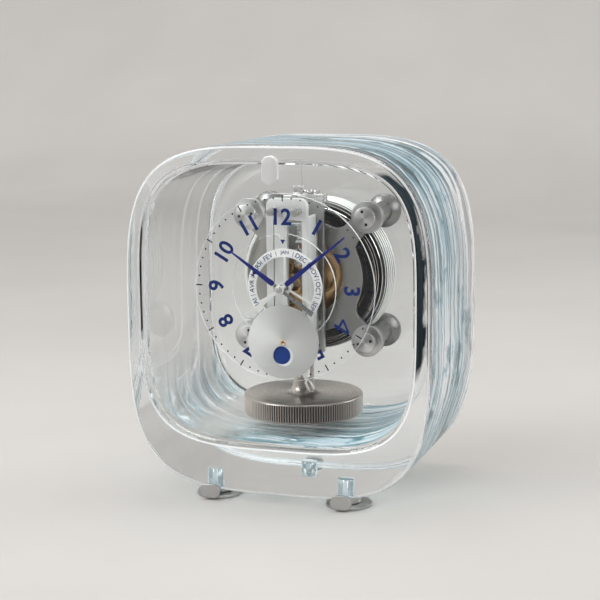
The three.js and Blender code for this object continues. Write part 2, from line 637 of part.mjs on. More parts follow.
// Hands: a tapered blade in front, a hub with a counterweight tail behind, on coaxial arbors
function handFrom(shape, face, turn) {
  // Drawn at twelve, turned clockwise
  const settings = { depth: hands.thickness, bevelEnabled: false, curveSegments: facets.arc };
  const flat = new THREE.ExtrudeGeometry(shape, settings).rotateX(Math.PI / 2);
  flat.translate(0, face + hands.thickness, 0).rotateY(THREE.MathUtils.degToRad(turn));
  return solid(flat.translate(0, 0, dial.centre));
}
function blade(length, face, turn) {
  const [root, tip] = [hands.bladeRoot / 2, hands.bladeTip / 2];
  const shape = new THREE.Shape();
  shape.moveTo(-root, hands.bladeStart + root);
  shape.absarc(0, hands.bladeStart + root, root, Math.PI, 2 * Math.PI);
  shape.lineTo(tip, length - tip);
  shape.absarc(0, length - tip, tip, 0, Math.PI);
  shape.closePath();
  return handFrom(shape, face, turn);
}
function tail(length, face, turn, hubRadius) {
  const [root, half] = [hands.tailRoot / 2, hands.tailWidth / 2];
  const reach = hands.bladeStart - clearance;
  const shape = new THREE.Shape();
  shape.moveTo(-root, reach);
  shape.lineTo(-root, -hubRadius);
  shape.lineTo(-half, -length);
  shape.lineTo(half, -length);
  shape.lineTo(root, -hubRadius);
  shape.lineTo(root, reach);
  shape.closePath();
  return handFrom(shape, face, turn);
}
const minuteBack = hands.minuteFront + hands.thickness;
const hourBack = hands.hourFront + hands.thickness;
const capFront = hands.minuteFront - hands.capHeight;
const arborEnd = bridgeFront + cage.bridge;
place("minute_hand", blade(hands.minuteLength, hands.minuteFront, minuteTurn), "blued");
place("minute_counterweight", join(
  tail(hands.minuteTail, hands.minuteFront, minuteTurn, hands.minuteHub),
  turnedY([
    [0, capFront], [hands.minuteHub - hands.capHeight, capFront],
    [hands.minuteHub, hands.minuteFront], [hands.minuteHub, minuteBack],
    [hands.arborRadius, minuteBack], [hands.arborRadius, arborEnd], [0, arborEnd],
  ], 0, dial.centre),
), "silver");
const hourBore = hands.arborRadius + clearance;
place("hour_hand", blade(hands.hourLength, hands.hourFront, hourTurn), "blued");
place("hour_counterweight", cut(
  join(
    tail(hands.hourTail, hands.hourFront, hourTurn, hands.hourHub),
    rodY(0, dial.centre, hands.hourHub, hands.hourFront, hourBack),
    rodY(0, dial.centre, hands.pipeRadius, hands.hourFront, cageBack),
  ),
  rodY(0, dial.centre, hourBore, hands.hourFront - overrun, cageBack + overrun),
), "silver");

// Moon dial: a satin disc with a round window, and the two-moon disc that turns behind it
const moonBack = moon.front + moon.thickness;
const moonRimBack = moonBack + moon.rimDepth;
const windowHeight = moon.centre - moon.apertureDrop;
place("moon_dial", cut(
  join(
    rodY(0, moon.centre, moon.radius, moon.front, moonBack, facets.ring),
    ringY(0, moon.centre, moon.radius, moon.radius - moon.rim, moon.front, moonRimBack, facets.ring),
  ),
  rodY(0, windowHeight, moon.apertureRadius, moon.front - overrun, moonBack + overrun, facets.disc),
  rodY(0, moon.centre, moon.arborRadius + clearance, moon.front - overrun, moonBack + overrun, facets.pin),
), "silver");
const moonDiscFront = moonRimBack;
const moonDiscBack = moonDiscFront + moon.discThickness;
place("moon_disc", join(
  rodY(0, moon.centre, moon.discRadius, moonDiscFront, moonDiscBack, facets.disc),
  rodY(0, moon.centre, moon.hubRadius, moonDiscFront, cage.front - clearance),
  rodY(0, moon.centre, moon.arborRadius, moonBack + clearance, cageBack, facets.pin),
), "moonBlue");
const jewelBack = moon.front - clearance;
const jewelFront = jewelBack - moon.jewelHeight;
place("moon_jewel", turnedY([
  [0, jewelFront], [moon.jewelRadius - moon.jewelBevel, jewelFront], [moon.jewelRadius, jewelBack],
  [moon.arborRadius, jewelBack], [moon.arborRadius, moonBack], [0, moonBack],
], 0, moon.centre), "jewel");

// Going train between the front plate and the bridge
function wheel({ x, z }, radius, toothCount, plane) {
  // A crossed-out wheel with pointed teeth
  const shape = new THREE.Shape();
  for (let i = 0; i < 2 * toothCount; i += 1) {
    const angle = (Math.PI * i) / toothCount;
    const reach = i % 2 ? radius : radius - train.toothDepth;
    shape[i ? "lineTo" : "moveTo"](x + reach * Math.cos(angle), z + reach * Math.sin(angle));
  }
  shape.closePath();
  const rimInner = radius - train.toothDepth - train.rim;
  shape.holes.push(circle(x, z, rimInner));
  const back = plane + train.wheelThickness;
  return join(
    plateAlongY(shape, plane, back, facets.arbor),
    rodY(x, z, train.hubRadius, plane, back, facets.arbor),
    ...spokes(wheelSpokes, train.spoke, 0, rimInner + train.rim / 2, plane, back, x, z),
  );
}
function pinion({ x, z }, radius, plane, thickness = train.wheelThickness) {
  return rodY(x, z, radius, plane, plane + thickness, facets.pin);
}
const arbor = ({ x, z }) => rodY(x, z, train.arborRadius, cheekFront, arborEnd, facets.arbor);
const barrelBack = train.barrelFront + train.barrelDepth;
place("centre_wheel", cut(
  join(
    wheel(centre, train.centreRadius, teeth.centre, train.firstPlane),
    pinion(centre, train.centrePinionRadius, train.firstPlane, barrelBack - train.firstPlane),
  ),
  rodY(0, dial.centre, hourBore, train.firstPlane - overrun, barrelBack + overrun, facets.pin),
), "brass");
place("third_wheel", join(
  wheel(third, train.thirdRadius, teeth.third, train.secondPlane),
  pinion(third, train.thirdPinionRadius, train.firstPlane),
  arbor(third),
), "brass");
place("escape_wheel", join(
  wheel(escape, train.escapeRadius, teeth.escape, train.thirdPlane),
  pinion(escape, train.escapePinionRadius, train.secondPlane),
  arbor(escape),
), "brass");
const palletBack = train.thirdPlane + train.palletThickness;
const halfPallet = train.palletThickness / 2;
place("pallet_lever", join(
  box(
    pallet.x - train.palletSpan / 2, pallet.x + train.palletSpan / 2, train.thirdPlane, palletBack,
    pallet.z - halfPallet, pallet.z + halfPallet,
  ),
  box(
    pallet.x - halfPallet, pallet.x + halfPallet, train.thirdPlane, palletBack,
    pallet.z, pallet.z + train.palletReach,
  ),
  arbor(pallet),
), "steel");
place("mainspring_barrel", join(
  turnedY([
    [0, train.barrelFront], [train.barrelRadius - train.rim, train.barrelFront],
    [train.barrelRadius, train.barrelFront + train.rim], [train.barrelRadius, barrelBack], [0, barrelBack],
  ], barrel.x, barrel.z, facets.disc),
  arbor(barrel),
), "brass");

// Return spring of the winding chain, one wire wound between two ledges of the right cheek
function coil({ x, depth, low, high, radius, wire, end }, turns, steps = 8, sidesRound = 5) {
  // A straight end, the curls, and a straight end; the gap is measured between the curls' own points
  const count = steps * turns;
  const climb = (high - low - 2 * end) / count;
  const route = [new THREE.Vector3(radius, 0, low)];
  for (let i = 0; i <= count; i += 1) {
    const angle = (2 * Math.PI * i) / steps;
    route.push(new THREE.Vector3(radius * Math.cos(angle), radius * Math.sin(angle), low + end + climb * i));
  }
  route.push(new THREE.Vector3(radius, 0, high));
  const rings = route.map((middle, i) => {
    const angle = (2 * Math.PI * (i - 1)) / steps;
    const outward = new THREE.Vector3(Math.cos(angle), Math.sin(angle), 0);
    if (i === 0 || i === route.length - 1) outward.set(1, 0, 0);
    const ahead = route[Math.min(i + 1, route.length - 1)].clone().sub(route[Math.max(i - 1, 0)]).normalize();
    const across = new THREE.Vector3().crossVectors(ahead, outward).normalize();
    return Array.from({ length: sidesRound }, (_, k) => {
      const round = (2 * Math.PI * k) / sidesRound;
      return middle.clone()
        .addScaledVector(outward, wire * Math.cos(round))
        .addScaledVector(across, wire * Math.sin(round));
    });
  });
  let gap = Infinity;
  for (let i = 0; i < rings.length; i += 1) {
    for (let j = i + steps / 2; j < rings.length; j += 1) {
      for (const p of rings[i]) for (const q of rings[j]) gap = Math.min(gap, p.distanceTo(q));
    }
  }
  console.log(`return_spring: ${turns} turns, least gap to itself ${gap.toFixed(2)} mm`);
  const index = [];
  const at = (i, k) => i * sidesRound + (k % sidesRound);
  const last = rings.length - 1;
  for (let i = 0; i < last; i += 1) {
    for (let k = 0; k < sidesRound; k += 1) {
      index.push(at(i, k), at(i + 1, k + 1), at(i, k + 1), at(i, k), at(i + 1, k), at(i + 1, k + 1));
    }
  }
  for (let k = 1; k + 1 < sidesRound; k += 1) {
    index.push(at(0, 0), at(0, k), at(0, k + 1), at(last, 0), at(last, k + 1), at(last, k));
  }
  const geometry = new THREE.BufferGeometry();
  const places = rings.flat().flatMap((point) => point.toArray());
  geometry.setAttribute("position", new THREE.BufferAttribute(new Float32Array(places), 3));
  geometry.setIndex(index);
  return solid(geometry.translate(x, depth, 0));
}
place("return_spring", coil(spring, springTurns), "polished");

// Ribbed capsule: a polished front with stepped rings, the ribs, a back plate, and the plate that moves
function capsuleFace() {
  const faceBack = drum.ribFront - clearance;
  const collarInner = drum.collarRadius - drum.collarWall;
  const ledgeRadius = drum.bore + drum.ledgeWidth;
  const shoulderBack = drum.shoulderFront + drum.shoulderDrop;
  const shoulderRadius = drum.collarRadius + drum.shoulderWidth;
  const stepFront = drum.faceFront + drum.faceStep;
  const edgeBack = shoulderBack + drum.edgeDrop + drum.shoulderDrop;
  return turnedY([
    [drum.bore, faceBack], [drum.bore, stepFront], [ledgeRadius, stepFront], [ledgeRadius, drum.faceFront],
    [collarInner, drum.faceFront], [collarInner, drum.collarFront], [drum.collarRadius, drum.collarFront],
    [drum.collarRadius, drum.shoulderFront], [shoulderRadius, shoulderBack],
    [shoulderRadius, shoulderBack + drum.edgeDrop], [drum.radius, edgeBack], [drum.radius, faceBack],
    [drum.bore, faceBack],
  ], 0, plateMiddle, facets.drum);
}
function capsuleRibs() {
  const pitch = (drum.ribBack - drum.ribFront) / ribCount;
  const valley = drum.radius - drum.ribDepth;
  const profile = [[drum.bore, drum.ribFront]];
  for (let i = 0; i < ribCount; i += 1) {
    const start = drum.ribFront + pitch * i;
    profile.push([valley, start], [drum.radius, start + pitch / 2]);
  }
  profile.push([valley, drum.ribBack], [drum.bore, drum.ribBack], profile[0]);
  return turnedY(profile, 0, plateMiddle, facets.disc);
}
place("capsule_face", capsuleFace(), "polished");
place("capsule_ribs", capsuleRibs(), "rib");
const capsuleBackFront = drum.ribBack + clearance;
const capsuleBackFace = capsuleBackFront + drum.backThickness;
place("capsule_back", turnedY([
  [0, capsuleBackFront], [drum.backRadius, capsuleBackFront], [drum.backRadius, capsuleBackFace],
  [drum.bossRadius, capsuleBackFace], [drum.bossRadius, postBack], [0, postBack],
], 0, plateMiddle, facets.drum), "polished");
const pusherBack = drum.ribFront - clearance;
const flangeFront = pusherBack - drum.pusherFlange;
place("capsule_pusher", turnedY([
  [0, drum.pusherFront], [drum.pusherRadius, drum.pusherFront], [drum.pusherRadius, flangeFront],
  [drum.bore - runningGap, flangeFront], [drum.bore - runningGap, pusherBack], [0, pusherBack],
], 0, plateMiddle, facets.drum), "brass");

// Balance: a heavy ring with vertical flutes under a neck, turning on the torsion wire
function flutedDrum() {
  const shape = new THREE.Shape();
  for (let i = 0; i < 2 * fluteCount; i += 1) {
    const angle = (Math.PI * i) / fluteCount;
    const reach = i % 2 ? balance.radius : balance.radius - balance.fluteDepth;
    shape[i ? "lineTo" : "moveTo"](reach * Math.cos(angle), reach * Math.sin(angle));
  }
  shape.closePath();
  const [low, high] = [balance.bottom + balance.shoulderRise, balance.top - balance.shoulderRise];
  const flutes = new THREE.ExtrudeGeometry(shape, { depth: high - low, bevelEnabled: false });
  return solid(flutes.translate(0, balance.depth, low));
}
const shoulderRadius = balance.radius - balance.shoulder;
const crownRadius = shoulderRadius - balance.shoulder;
const flareSteps = 4;
const bell = [
  [0, balance.bottom], [crownRadius, balance.bottom], [shoulderRadius, balance.bottom + balance.shoulderRise],
  [shoulderRadius, balance.top - balance.shoulderRise], [crownRadius, balance.top],
];
for (let i = 0; i <= flareSteps; i += 1) {
  const angle = (Math.PI / 2) * (i / flareSteps);
  const reach = balance.flareRadius - (balance.flareRadius - balance.neckRadius) * Math.sin(angle);
  bell.push([reach, balance.top + balance.flareHeight * (1 - Math.cos(angle))]);
}
bell.push([balance.neckRadius, balance.neckTop], [0, balance.neckTop]);
place("balance", cut(
  join(flutedDrum(), turnedZ(bell, 0, balance.depth, facets.disc)),
  rodZ(0, balance.depth, balance.boreRadius, balance.top, balance.neckTop + overrun, facets.pin),
), "nickel");

// Torsion wire, its clamp and the bridge across the cage's top with the rate disc
const bridgeLow = cage.top - torsion.bridgeDrop;
const bridgeHigh = bridgeLow + torsion.bridgeThickness;
const bridgeNear = balance.depth - torsion.bridgeDepth / 2;
const bridgeBack = balance.depth + torsion.bridgeDepth / 2;
const legLow = cage.rearTop + clearance;
const legLeft = torsion.bridgeRight - torsion.legWidth;
const throughHead = [cage.rearTop - overrun, bridgeHigh + overrun];
place("torsion_bridge", cut(
  join(
    box(-torsion.bridgeLeft, torsion.bridgeRight, bridgeNear, bridgeBack, bridgeLow, bridgeHigh),
    box(legLeft, torsion.bridgeRight, bridgeNear, bridgeBack, legLow, bridgeLow + sink),
    box(-halfCage, torsion.bridgeRight, cage.rearFront, bridgeBack, legLow, bridgeLow + sink),
  ),
  rodZ(0, balance.depth, torsion.wireRadius + clearance, ...throughHead, facets.pin),
  rodZ(torsion.discOffset, balance.depth, torsion.discStem + clearance, ...throughHead, facets.pin),
), "silver");
const clampLow = bridgeHigh + clearance;
const clampHigh = clampLow + torsion.clampHeight;
place("wire_clamp", cut(
  box(
    -torsion.clampWidth, torsion.discOffset - torsion.discRadius - clearance,
    balance.depth - torsion.clampDepth / 2, balance.depth + torsion.clampDepth / 2, clampLow, clampHigh,
  ),
  rodZ(0, balance.depth, torsion.wireRadius + clearance, clampLow - overrun, clampHigh + overrun, facets.pin),
), "polished");
place("torsion_wire", rodZ(
  0, balance.depth, torsion.wireRadius, balance.top + clearance, torsion.tailTop, facets.arc,
), "polished");
const discHigh = clampLow + torsion.discThickness;
place("rate_disc", turnedZ([
  [0, bridgeLow], [torsion.discStem, bridgeLow], [torsion.discStem, clampLow], [torsion.discRadius, clampLow],
  [torsion.discRadius, discHigh], [torsion.recessRadius, discHigh],
  [torsion.recessRadius, discHigh - torsion.recessDepth], [0, discHigh - torsion.recessDepth],
], torsion.discOffset, balance.depth), "polished");

// Locking lever that holds the balance still when the clock is carried
const halfLock = lock.width / 2;
const halfLoop = halfLock - lock.wall;
const halfLever = lock.thickness / 2;
const loopTop = lock.loopLength - lock.length;
const lockLoop = cut(
  join(
    box(-halfLock, halfLock, -halfLever, halfLever, -lock.length, loopTop),
    box(-lock.wall, lock.wall, -halfLever, halfLever, loopTop - lock.wall, 0),
  ),
  box(-halfLoop, halfLoop, -overrun, overrun, lock.wall - lock.length, loopTop - lock.wall),
);
const lockGeometry = geometryOf(lockLoop);
lockGeometry.rotateY(-THREE.MathUtils.degToRad(lockTilt)).translate(lock.x, lock.depth, lock.pivotHeight);
place("lock_lever", join(
  solid(lockGeometry),
  rodY(lock.x, lock.pivotHeight, lock.pivotRadius, cheekFront, lock.depth + lock.thickness),
), "polished");

// The datum moves to the middle of the footprint, on the surface that the clock stands on
const frontReach = pullFront;
const backReach = crystal.depth + clearance + foot.plateThickness;
clock.position.set(0, -(frontReach + backReach) / 2, foot.rise);
const standing = new THREE.Group();
standing.add(clock);

export default standing;
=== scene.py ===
"""An atmospheric clock in a thick crystal case, dressed round its packed CAD frame.

Sizes are millimetres in the row frame (origin in the middle of the footprint, +Z up, -Y towards the
viewer) and become metres only where a mesh is made. Places come from the boxes of the CAD nodes.
"""
from __future__ import annotations

import logging
import math
from dataclasses import dataclass, field, replace
from enum import Enum, IntEnum

import bpy
from mathutils import Matrix, Vector


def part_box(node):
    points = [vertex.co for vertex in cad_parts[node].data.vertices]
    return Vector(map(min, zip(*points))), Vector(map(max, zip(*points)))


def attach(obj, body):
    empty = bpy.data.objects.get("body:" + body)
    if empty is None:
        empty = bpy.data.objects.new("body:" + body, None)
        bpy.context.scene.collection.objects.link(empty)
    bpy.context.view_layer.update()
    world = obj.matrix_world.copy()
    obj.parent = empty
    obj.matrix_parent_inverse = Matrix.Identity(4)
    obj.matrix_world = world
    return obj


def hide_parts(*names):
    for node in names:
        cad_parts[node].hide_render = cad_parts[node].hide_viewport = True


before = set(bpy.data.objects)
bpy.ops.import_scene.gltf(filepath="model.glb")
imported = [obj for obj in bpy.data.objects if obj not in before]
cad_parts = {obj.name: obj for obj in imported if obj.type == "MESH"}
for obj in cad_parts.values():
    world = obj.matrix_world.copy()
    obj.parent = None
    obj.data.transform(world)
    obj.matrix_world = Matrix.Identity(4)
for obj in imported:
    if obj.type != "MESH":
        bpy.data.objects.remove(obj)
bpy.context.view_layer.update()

MM = 0.001
MERGE = 1e-7
DIAL_RADIUS = 59.0
INK_GAP = 0.02
INK_DEPTH = 0.06
Point = tuple[float, float]
Place = tuple[float, float, float]
Profile = list[Point]
Piece = bpy.types.Object
Node = bpy.types.Node
Socket = bpy.types.NodeSocket
Value = Socket | float
Inputs = dict[str | int, object]
log = logging.getLogger("clock")


# Measuring


@dataclass(frozen=True)
class Span:
    """A CAD node's box at rest, in millimetres."""

    low: Vector
    high: Vector

    @classmethod
    def of(cls, node: str) -> Span:
        """Measure a CAD node.

        Args:
            node: the node's name.

        Returns:
            Its box in millimetres.
        """
        low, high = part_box(node)
        return cls(low / MM, high / MM)

    @property
    def middle(self) -> Vector:
        """The box's centre."""
        return (self.low + self.high) / 2

    @property
    def spot(self) -> Point:
        """The centre as the front view shows it, in x and z."""
        return self.middle.x, self.middle.z

    @property
    def size(self) -> Vector:
        """The box's three lengths."""
        return self.high - self.low


FRONT = Span.of("crystal_cabinet").low.y
UNDERSIDE = Span.of("crystal_cabinet").low.z


def deep(depth: float) -> float:
    """Turn a depth behind the crystal's front face into y."""
    return FRONT + depth


def up(height: float) -> float:
    """Turn a height above the crystal's underside into z."""
    return UNDERSIDE + height


class Axis(Enum):
    """The axis that a piece is turned about."""

    Y = 1
    Z = 2


class Corner(Enum):
    """The four posts, each with its pin holes' turn in degrees."""

    TOP_LEFT = ("top_left", 12.0)
    TOP_RIGHT = ("top_right", -72.0)
    BOTTOM_LEFT = ("bottom_left", 72.0)
    BOTTOM_RIGHT = ("bottom_right", 16.0)

    def __init__(self, label: str, pin_turn: float) -> None:
        """Keep the label that node names end in, and the turn."""
        self.label = label
        self.pin_turn = pin_turn


class FootPlace(Enum):
    """The three feet, each with the way its plate faces."""

    FRONT_LEFT = ("front_left", -1)
    FRONT_RIGHT = ("front_right", -1)
    REAR = ("rear", 1)

    def __init__(self, label: str, outward: int) -> None:
        """Keep the label that node names end in, and the side."""
        self.label = label
        self.outward = outward


# Outlines, drawn as the front view in x and z


def arc(centre: Point, radius: float, start: float, end: float, steps: int) -> Profile:
    """Points along an arc.

    Args:
        centre: the arc's centre.
        radius: its radius.
        start: first angle in degrees from +x.
        end: last angle in degrees.
        steps: number of stretches.

    Returns:
        steps + 1 points.
    """
    turns = [math.radians(start + (end - start) * i / steps) for i in range(steps + 1)]
    return [(centre[0] + radius * math.cos(t), centre[1] + radius * math.sin(t)) for t in turns]


def ring_points(centre: Point, radius: float, steps: int = 96) -> Profile:
    """A full circle's points, without the doubled last one."""
    return arc(centre, radius, 0, 360, steps)[:-1]


def slot_outline(centre: Point, width: float, height: float, steps: int = 20) -> Profile:
    """A slot with round ends on its longer way.

    Args:
        centre: its middle.
        width: its width.
        height: its height.
        steps: stretches of each round end.

    Returns:
        The outline's points.
    """
    radius = min(width, height) / 2
    dx, dz = width / 2 - radius, height / 2 - radius
    first, turn = ((centre[0] + dx, centre[1] + dz), 0 if height > width else -90)
    second = (centre[0] - dx, centre[1] - dz)
    return arc(first, radius, turn, turn + 180, steps) + arc(second, radius, turn + 180, turn + 360, steps)


def crossings(centre: Point, radii: Point, spoke: float, count: int, first: float,
              steps: tuple[int, int]) -> list[Profile]:
    """The holes between a wheel's spokes.

    Args:
        centre: the wheel's centre.
        radii: the rim's inner radius and the hub's radius.
        spoke: width of a spoke.
        count: number of spokes.
        first: the first spoke's angle in degrees.
        steps: stretches along the rim and along the hub.

    Returns:
        An outline for each hole.
    """
    rim, hub = radii
    wide, tight = (math.degrees(math.asin(spoke / 2 / radius)) for radius in radii)
    pitch = 360 / count
    return [arc(centre, rim, start + wide, start + pitch - wide, steps[0])
            + arc(centre, hub, start + pitch - tight, start + tight, steps[1])
            for start in (first + pitch * i for i in range(count))]


def turned_about(points: Profile, centre: Point, degrees: float) -> Profile:
    """Turn an outline clockwise about a centre.

    Args:
        points: the outline.
        centre: the centre.
        degrees: the clockwise turn as seen from the front.

    Returns:
        The turned outline.
    """
    c, s = math.cos(math.radians(degrees)), math.sin(math.radians(degrees))
    moved = [(x - centre[0], z - centre[1]) for x, z in points]
    return [(centre[0] + x * c + z * s, centre[1] - x * s + z * c) for x, z in moved]


def spun(middle: Vector, angle: float, axis: str) -> Matrix:
    """A turn in radians about an axis through a place in millimetres."""
    here = Matrix.Translation(middle * MM)
    return here @ Matrix.Rotation(angle, 4, axis) @ here.inverted()


def around(vertex: bpy.types.MeshVertex, axis: Point, columns: int) -> tuple[float, float, int]:
    """A vertex's distances in x and y from an upright axis, and its column round it."""
    dx, dy = vertex.co.x / MM - axis[0], vertex.co.y / MM - axis[1]
    return dx, dy, round(math.atan2(dy, dx) / (2 * math.pi / columns))


def dial_height() -> float:
    """Height of the dial's centre, which the hands share."""
    return Span.of("dial_ring").high.z - DIAL_RADIUS


# Finishes


@dataclass(frozen=True)
class Grain:
    """How a surface is worked: circular about a centre, or straight."""

    circular: bool = True
    centre: Place = (0.0, 0.0, 0.0)
    turn: Place = (0.0, 0.0, 0.0)
    pitch: float = 900.0
    stretch: float = 0.02


@dataclass(frozen=True)
class Hollow:
    """Soot and shadow in the valleys of a turned surface, told by the distance from its axis."""

    axis: Axis
    centre: Point
    floor: float
    crest: float
    shade: float
    flat: float = 0.5
    peak: float = 1.0


class Surface:
    """Fills one node tree."""

    def __init__(self, tree: bpy.types.NodeTree) -> None:
        """Keep the tree."""
        self.tree = tree
        self.link = tree.links.new

    def feed(self, node: Node, given: Inputs) -> None:
        """Link sockets to a node's inputs and set values on the others.

        Args:
            node: the node.
            given: a socket or a value for each input that isn't left alone.
        """
        for name, value in given.items():
            if isinstance(value, Socket):
                self.link(value, node.inputs[name])
            else:
                node.inputs[name].default_value = value

    def node(self, kind: str, given: Inputs | None = None, **settings: object) -> Node:
        """Add a node.

        Args:
            kind: its type.
            given: what its inputs get.
            settings: its properties.

        Returns:
            The node.
        """
        node = self.tree.nodes.new(f"ShaderNode{kind}")
        for name, value in settings.items():
            setattr(node, name, value)
        self.feed(node, given or {})
        return node

    def maths(self, operation: str, *given: Value) -> Socket:
        """Add a math node on sockets or numbers and return its output."""
        return self.node("Math", dict(enumerate(given)), operation=operation).outputs[0]

    def times(self, first: Value, second: Value) -> Socket:
        """Multiply two sockets or numbers."""
        return self.maths("MULTIPLY", first, second)

    def plus(self, first: Value, *others: Value) -> Socket:
        """Add up sockets or numbers."""
        for other in others:
            first = self.maths("ADD", first, other)
        return first

    def split(self, vector: Socket) -> tuple[Socket, ...]:
        """Take a vector apart into x, y and z."""
        return tuple(self.node("SeparateXYZ", {0: vector}).outputs)

    def combined(self, x: Value, y: Value, z: Value = 0.0) -> Socket:
        """Put a vector together."""
        return self.node("CombineXYZ", {0: x, 1: y, 2: z}).outputs[0]

    def scaled(self, colour: Socket, share: Value) -> Socket:
        """Scale a colour by a value."""
        return self.node("VectorMath", {0: colour, "Scale": share}, operation="SCALE").outputs[0]

    def ranged(self, value: Socket, start: float, end: float, low: float, high: float,
               kind: str = "LINEAR") -> Socket:
        """Map a value from one range to another.

        Args:
            value: the value.
            start: where its range begins.
            end: where it ends.
            low: the result at the start.
            high: the result at the end.
            kind: how the result runs between them.

        Returns:
            The result's socket.
        """
        given = {"Value": value, "From Min": start, "From Max": end, "To Min": low, "To Max": high}
        return self.node("MapRange", given, interpolation_type=kind).outputs["Result"]

    def eased(self, value: Socket, *ends: float) -> Socket:
        """Map a value to another range with soft ends."""
        return self.ranged(value, *ends, "SMOOTHSTEP")

    def noise(self, vector: Socket, scale: Value, detail: float, roughness: float = 0.5) -> Socket:
        """Add a noise texture and return its value."""
        given = {"Vector": vector, "Scale": scale, "Detail": detail, "Roughness": roughness}
        return self.node("TexNoise", given).outputs["Fac"]

    def ramp(self, mask: Socket, *stops: tuple[float, Place]) -> Socket:
        """Colour a mask.

        Args:
            mask: the mask.
            stops: place and colour of each stop, rising.

        Returns:
            The colour's socket.
        """
        node = self.node("ValToRGB", {"Fac": mask})
        elements = node.color_ramp.elements
        elements[1].position = stops[-1][0]
        elements[0].position = stops[0][0]
        for place, _ in stops[1:-1]:
            elements.new(place)
        for element, (_, colour) in zip(elements, stops):
            element.color = (*colour, 1)
        return node.outputs["Color"]

    def two_tone(self, mask: Socket, dark: Place, light: Place) -> Socket:
        """Blend two colours by a mask."""
        return self.ramp(mask, (0.3, dark), (0.7, light))


class Palette:
    """Builds the shader groups once and keeps the materials made so far."""

    def __init__(self) -> None:
        """Build the shared groups."""
        self.grain_group = self._grain_group()
        self.cloud_group = self._cloud_group()
        self.drawn_group = self._drawn_group()
        self.made: dict[str, bpy.types.Material] = {}

    @staticmethod
    def _new_group(name: str, numbers: dict[str, float], outputs: tuple[str, ...]):
        """Start a node group that takes a vector and some numbers.

        Args:
            name: the group's name.
            numbers: each number's name and default.
            outputs: names of the outputs, a colour or values.

        Returns:
            The group's surface, what it is given and what it gives.
        """
        tree = bpy.data.node_groups.new(name, "ShaderNodeTree")
        add = tree.interface.new_socket
        add(name="Vector", in_out="INPUT", socket_type="NodeSocketVector")
        for label, default in numbers.items():
            add(name=label, in_out="INPUT", socket_type="NodeSocketFloat").default_value = default
        for label in outputs:
            kind = "NodeSocketColor" if label == "Colour" else "NodeSocketFloat"
            add(name=label, in_out="OUTPUT", socket_type=kind)
        given, out = tree.nodes.new("NodeGroupInput"), tree.nodes.new("NodeGroupOutput")
        return Surface(tree), given.outputs, out.inputs

    def _grain_group(self) -> bpy.types.NodeTree:
        """Brushed grain, circular or straight, from centred coordinates, and the fan of light on it."""
        numbers = {"Circular": 1.0, "Pitch": 900.0, "Stretch": 0.02}
        work, given, out = self._new_group("worked_grain", numbers, ("Mask", "Fan"))
        x, y, z = work.split(given["Vector"])
        circular, pitch = given["Circular"], given["Pitch"]
        radius = work.maths("SQRT", work.plus(work.times(x, x), work.times(z, z)))
        angle = work.maths("ARCTAN2", z, x)
        ring = work.combined(work.times(radius, pitch), angle)
        along = work.times(work.times(z, pitch), given["Stretch"])
        straight = work.combined(work.times(x, pitch), along, work.times(y, pitch))
        mix = work.node("Mix", data_type="VECTOR")
        work.feed(mix, {"Factor": circular, "A": straight, "B": ring})
        work.link(work.noise(mix.outputs["Result"], 1.0, 3.0), out["Mask"])
        # Painted sheen: lighter and darker twice round the centre.
        sheen_wave = work.maths("COSINE", work.plus(work.times(angle, 2.0), 1.7))
        work.link(work.times(sheen_wave, circular), out["Fan"])
        return work.tree

    def _cloud_group(self) -> bpy.types.NodeTree:
        """Broad uneven tone, as of handling and polishing."""
        work, given, out = self._new_group("handled_tone", {"Scale": 40.0}, ("Mask",))
        work.link(work.noise(given["Vector"], given["Scale"], 4.0), out["Mask"])
        return work.tree

    def _drawn_group(self) -> bpy.types.NodeTree:
        """Streaks that run round the case as drawn glass shows them edge on, and how much they cover."""
        work, given, out = self._new_group("painted_reflection_streaks", {"Low": 0.0}, ("Colour", "Mask"))
        where, rough = given["Vector"], 0.6
        x, y, z = work.split(where)
        sway = work.times(work.noise(where, 22.0, 3.0, rough), 0.02)
        slant = work.times(work.eased(z, 0.0, 0.085, 1.0, 0.0), z)
        depth = work.plus(y, sway, slant)
        drawn = work.combined(work.times(x, 9.0), work.times(depth, 260.0), work.times(z, 9.0))
        # Painted shade and highlight within the streaks: dark patches, darker low down, lighter towards the rear,
        # darker at the crown.
        patch = work.eased(work.noise(where, 38.0, 4.0, rough), 0.56, 0.7, 0.0, -0.16)
        low = work.eased(z, 0.03, 0.10, -0.09, 0.0)
        rear = work.eased(y, 0.025, 0.055, 0.0, 0.14)
        crown = work.eased(z, 0.185, 0.212, 0.0, -0.08)
        total = work.plus(work.noise(drawn, 1.0, 5.0, rough), patch, low, rear, crown)
        colour = work.ramp(total, (0.27, (0.015, 0.06, 0.075)), (0.37, (0.09, 0.25, 0.31)),
                           (0.45, (0.34, 0.53, 0.62)), (0.50, (0.66, 0.79, 0.87)), (0.58, (0.98, 0.99, 1.0)))
        work.link(colour, out["Colour"])
        cover = work.eased(work.noise(drawn, 0.7, 3.0, rough), 0.35, 0.6, 0.35, 1.0)
        lower = work.eased(z, 0.05, 0.09, 1.0, 0.0)
        clear = work.maths("MAXIMUM", work.eased(x, -0.068, -0.055, 1.0, 0.15),
                           work.eased(x, -0.045, -0.015, 0.15, 1.0))
        keep = work.maths("SUBTRACT", 1.0, given["Low"])
        held = work.maths("MAXIMUM", keep, work.times(lower, clear))
        work.link(work.times(cover, held), out["Mask"])
        return work.tree


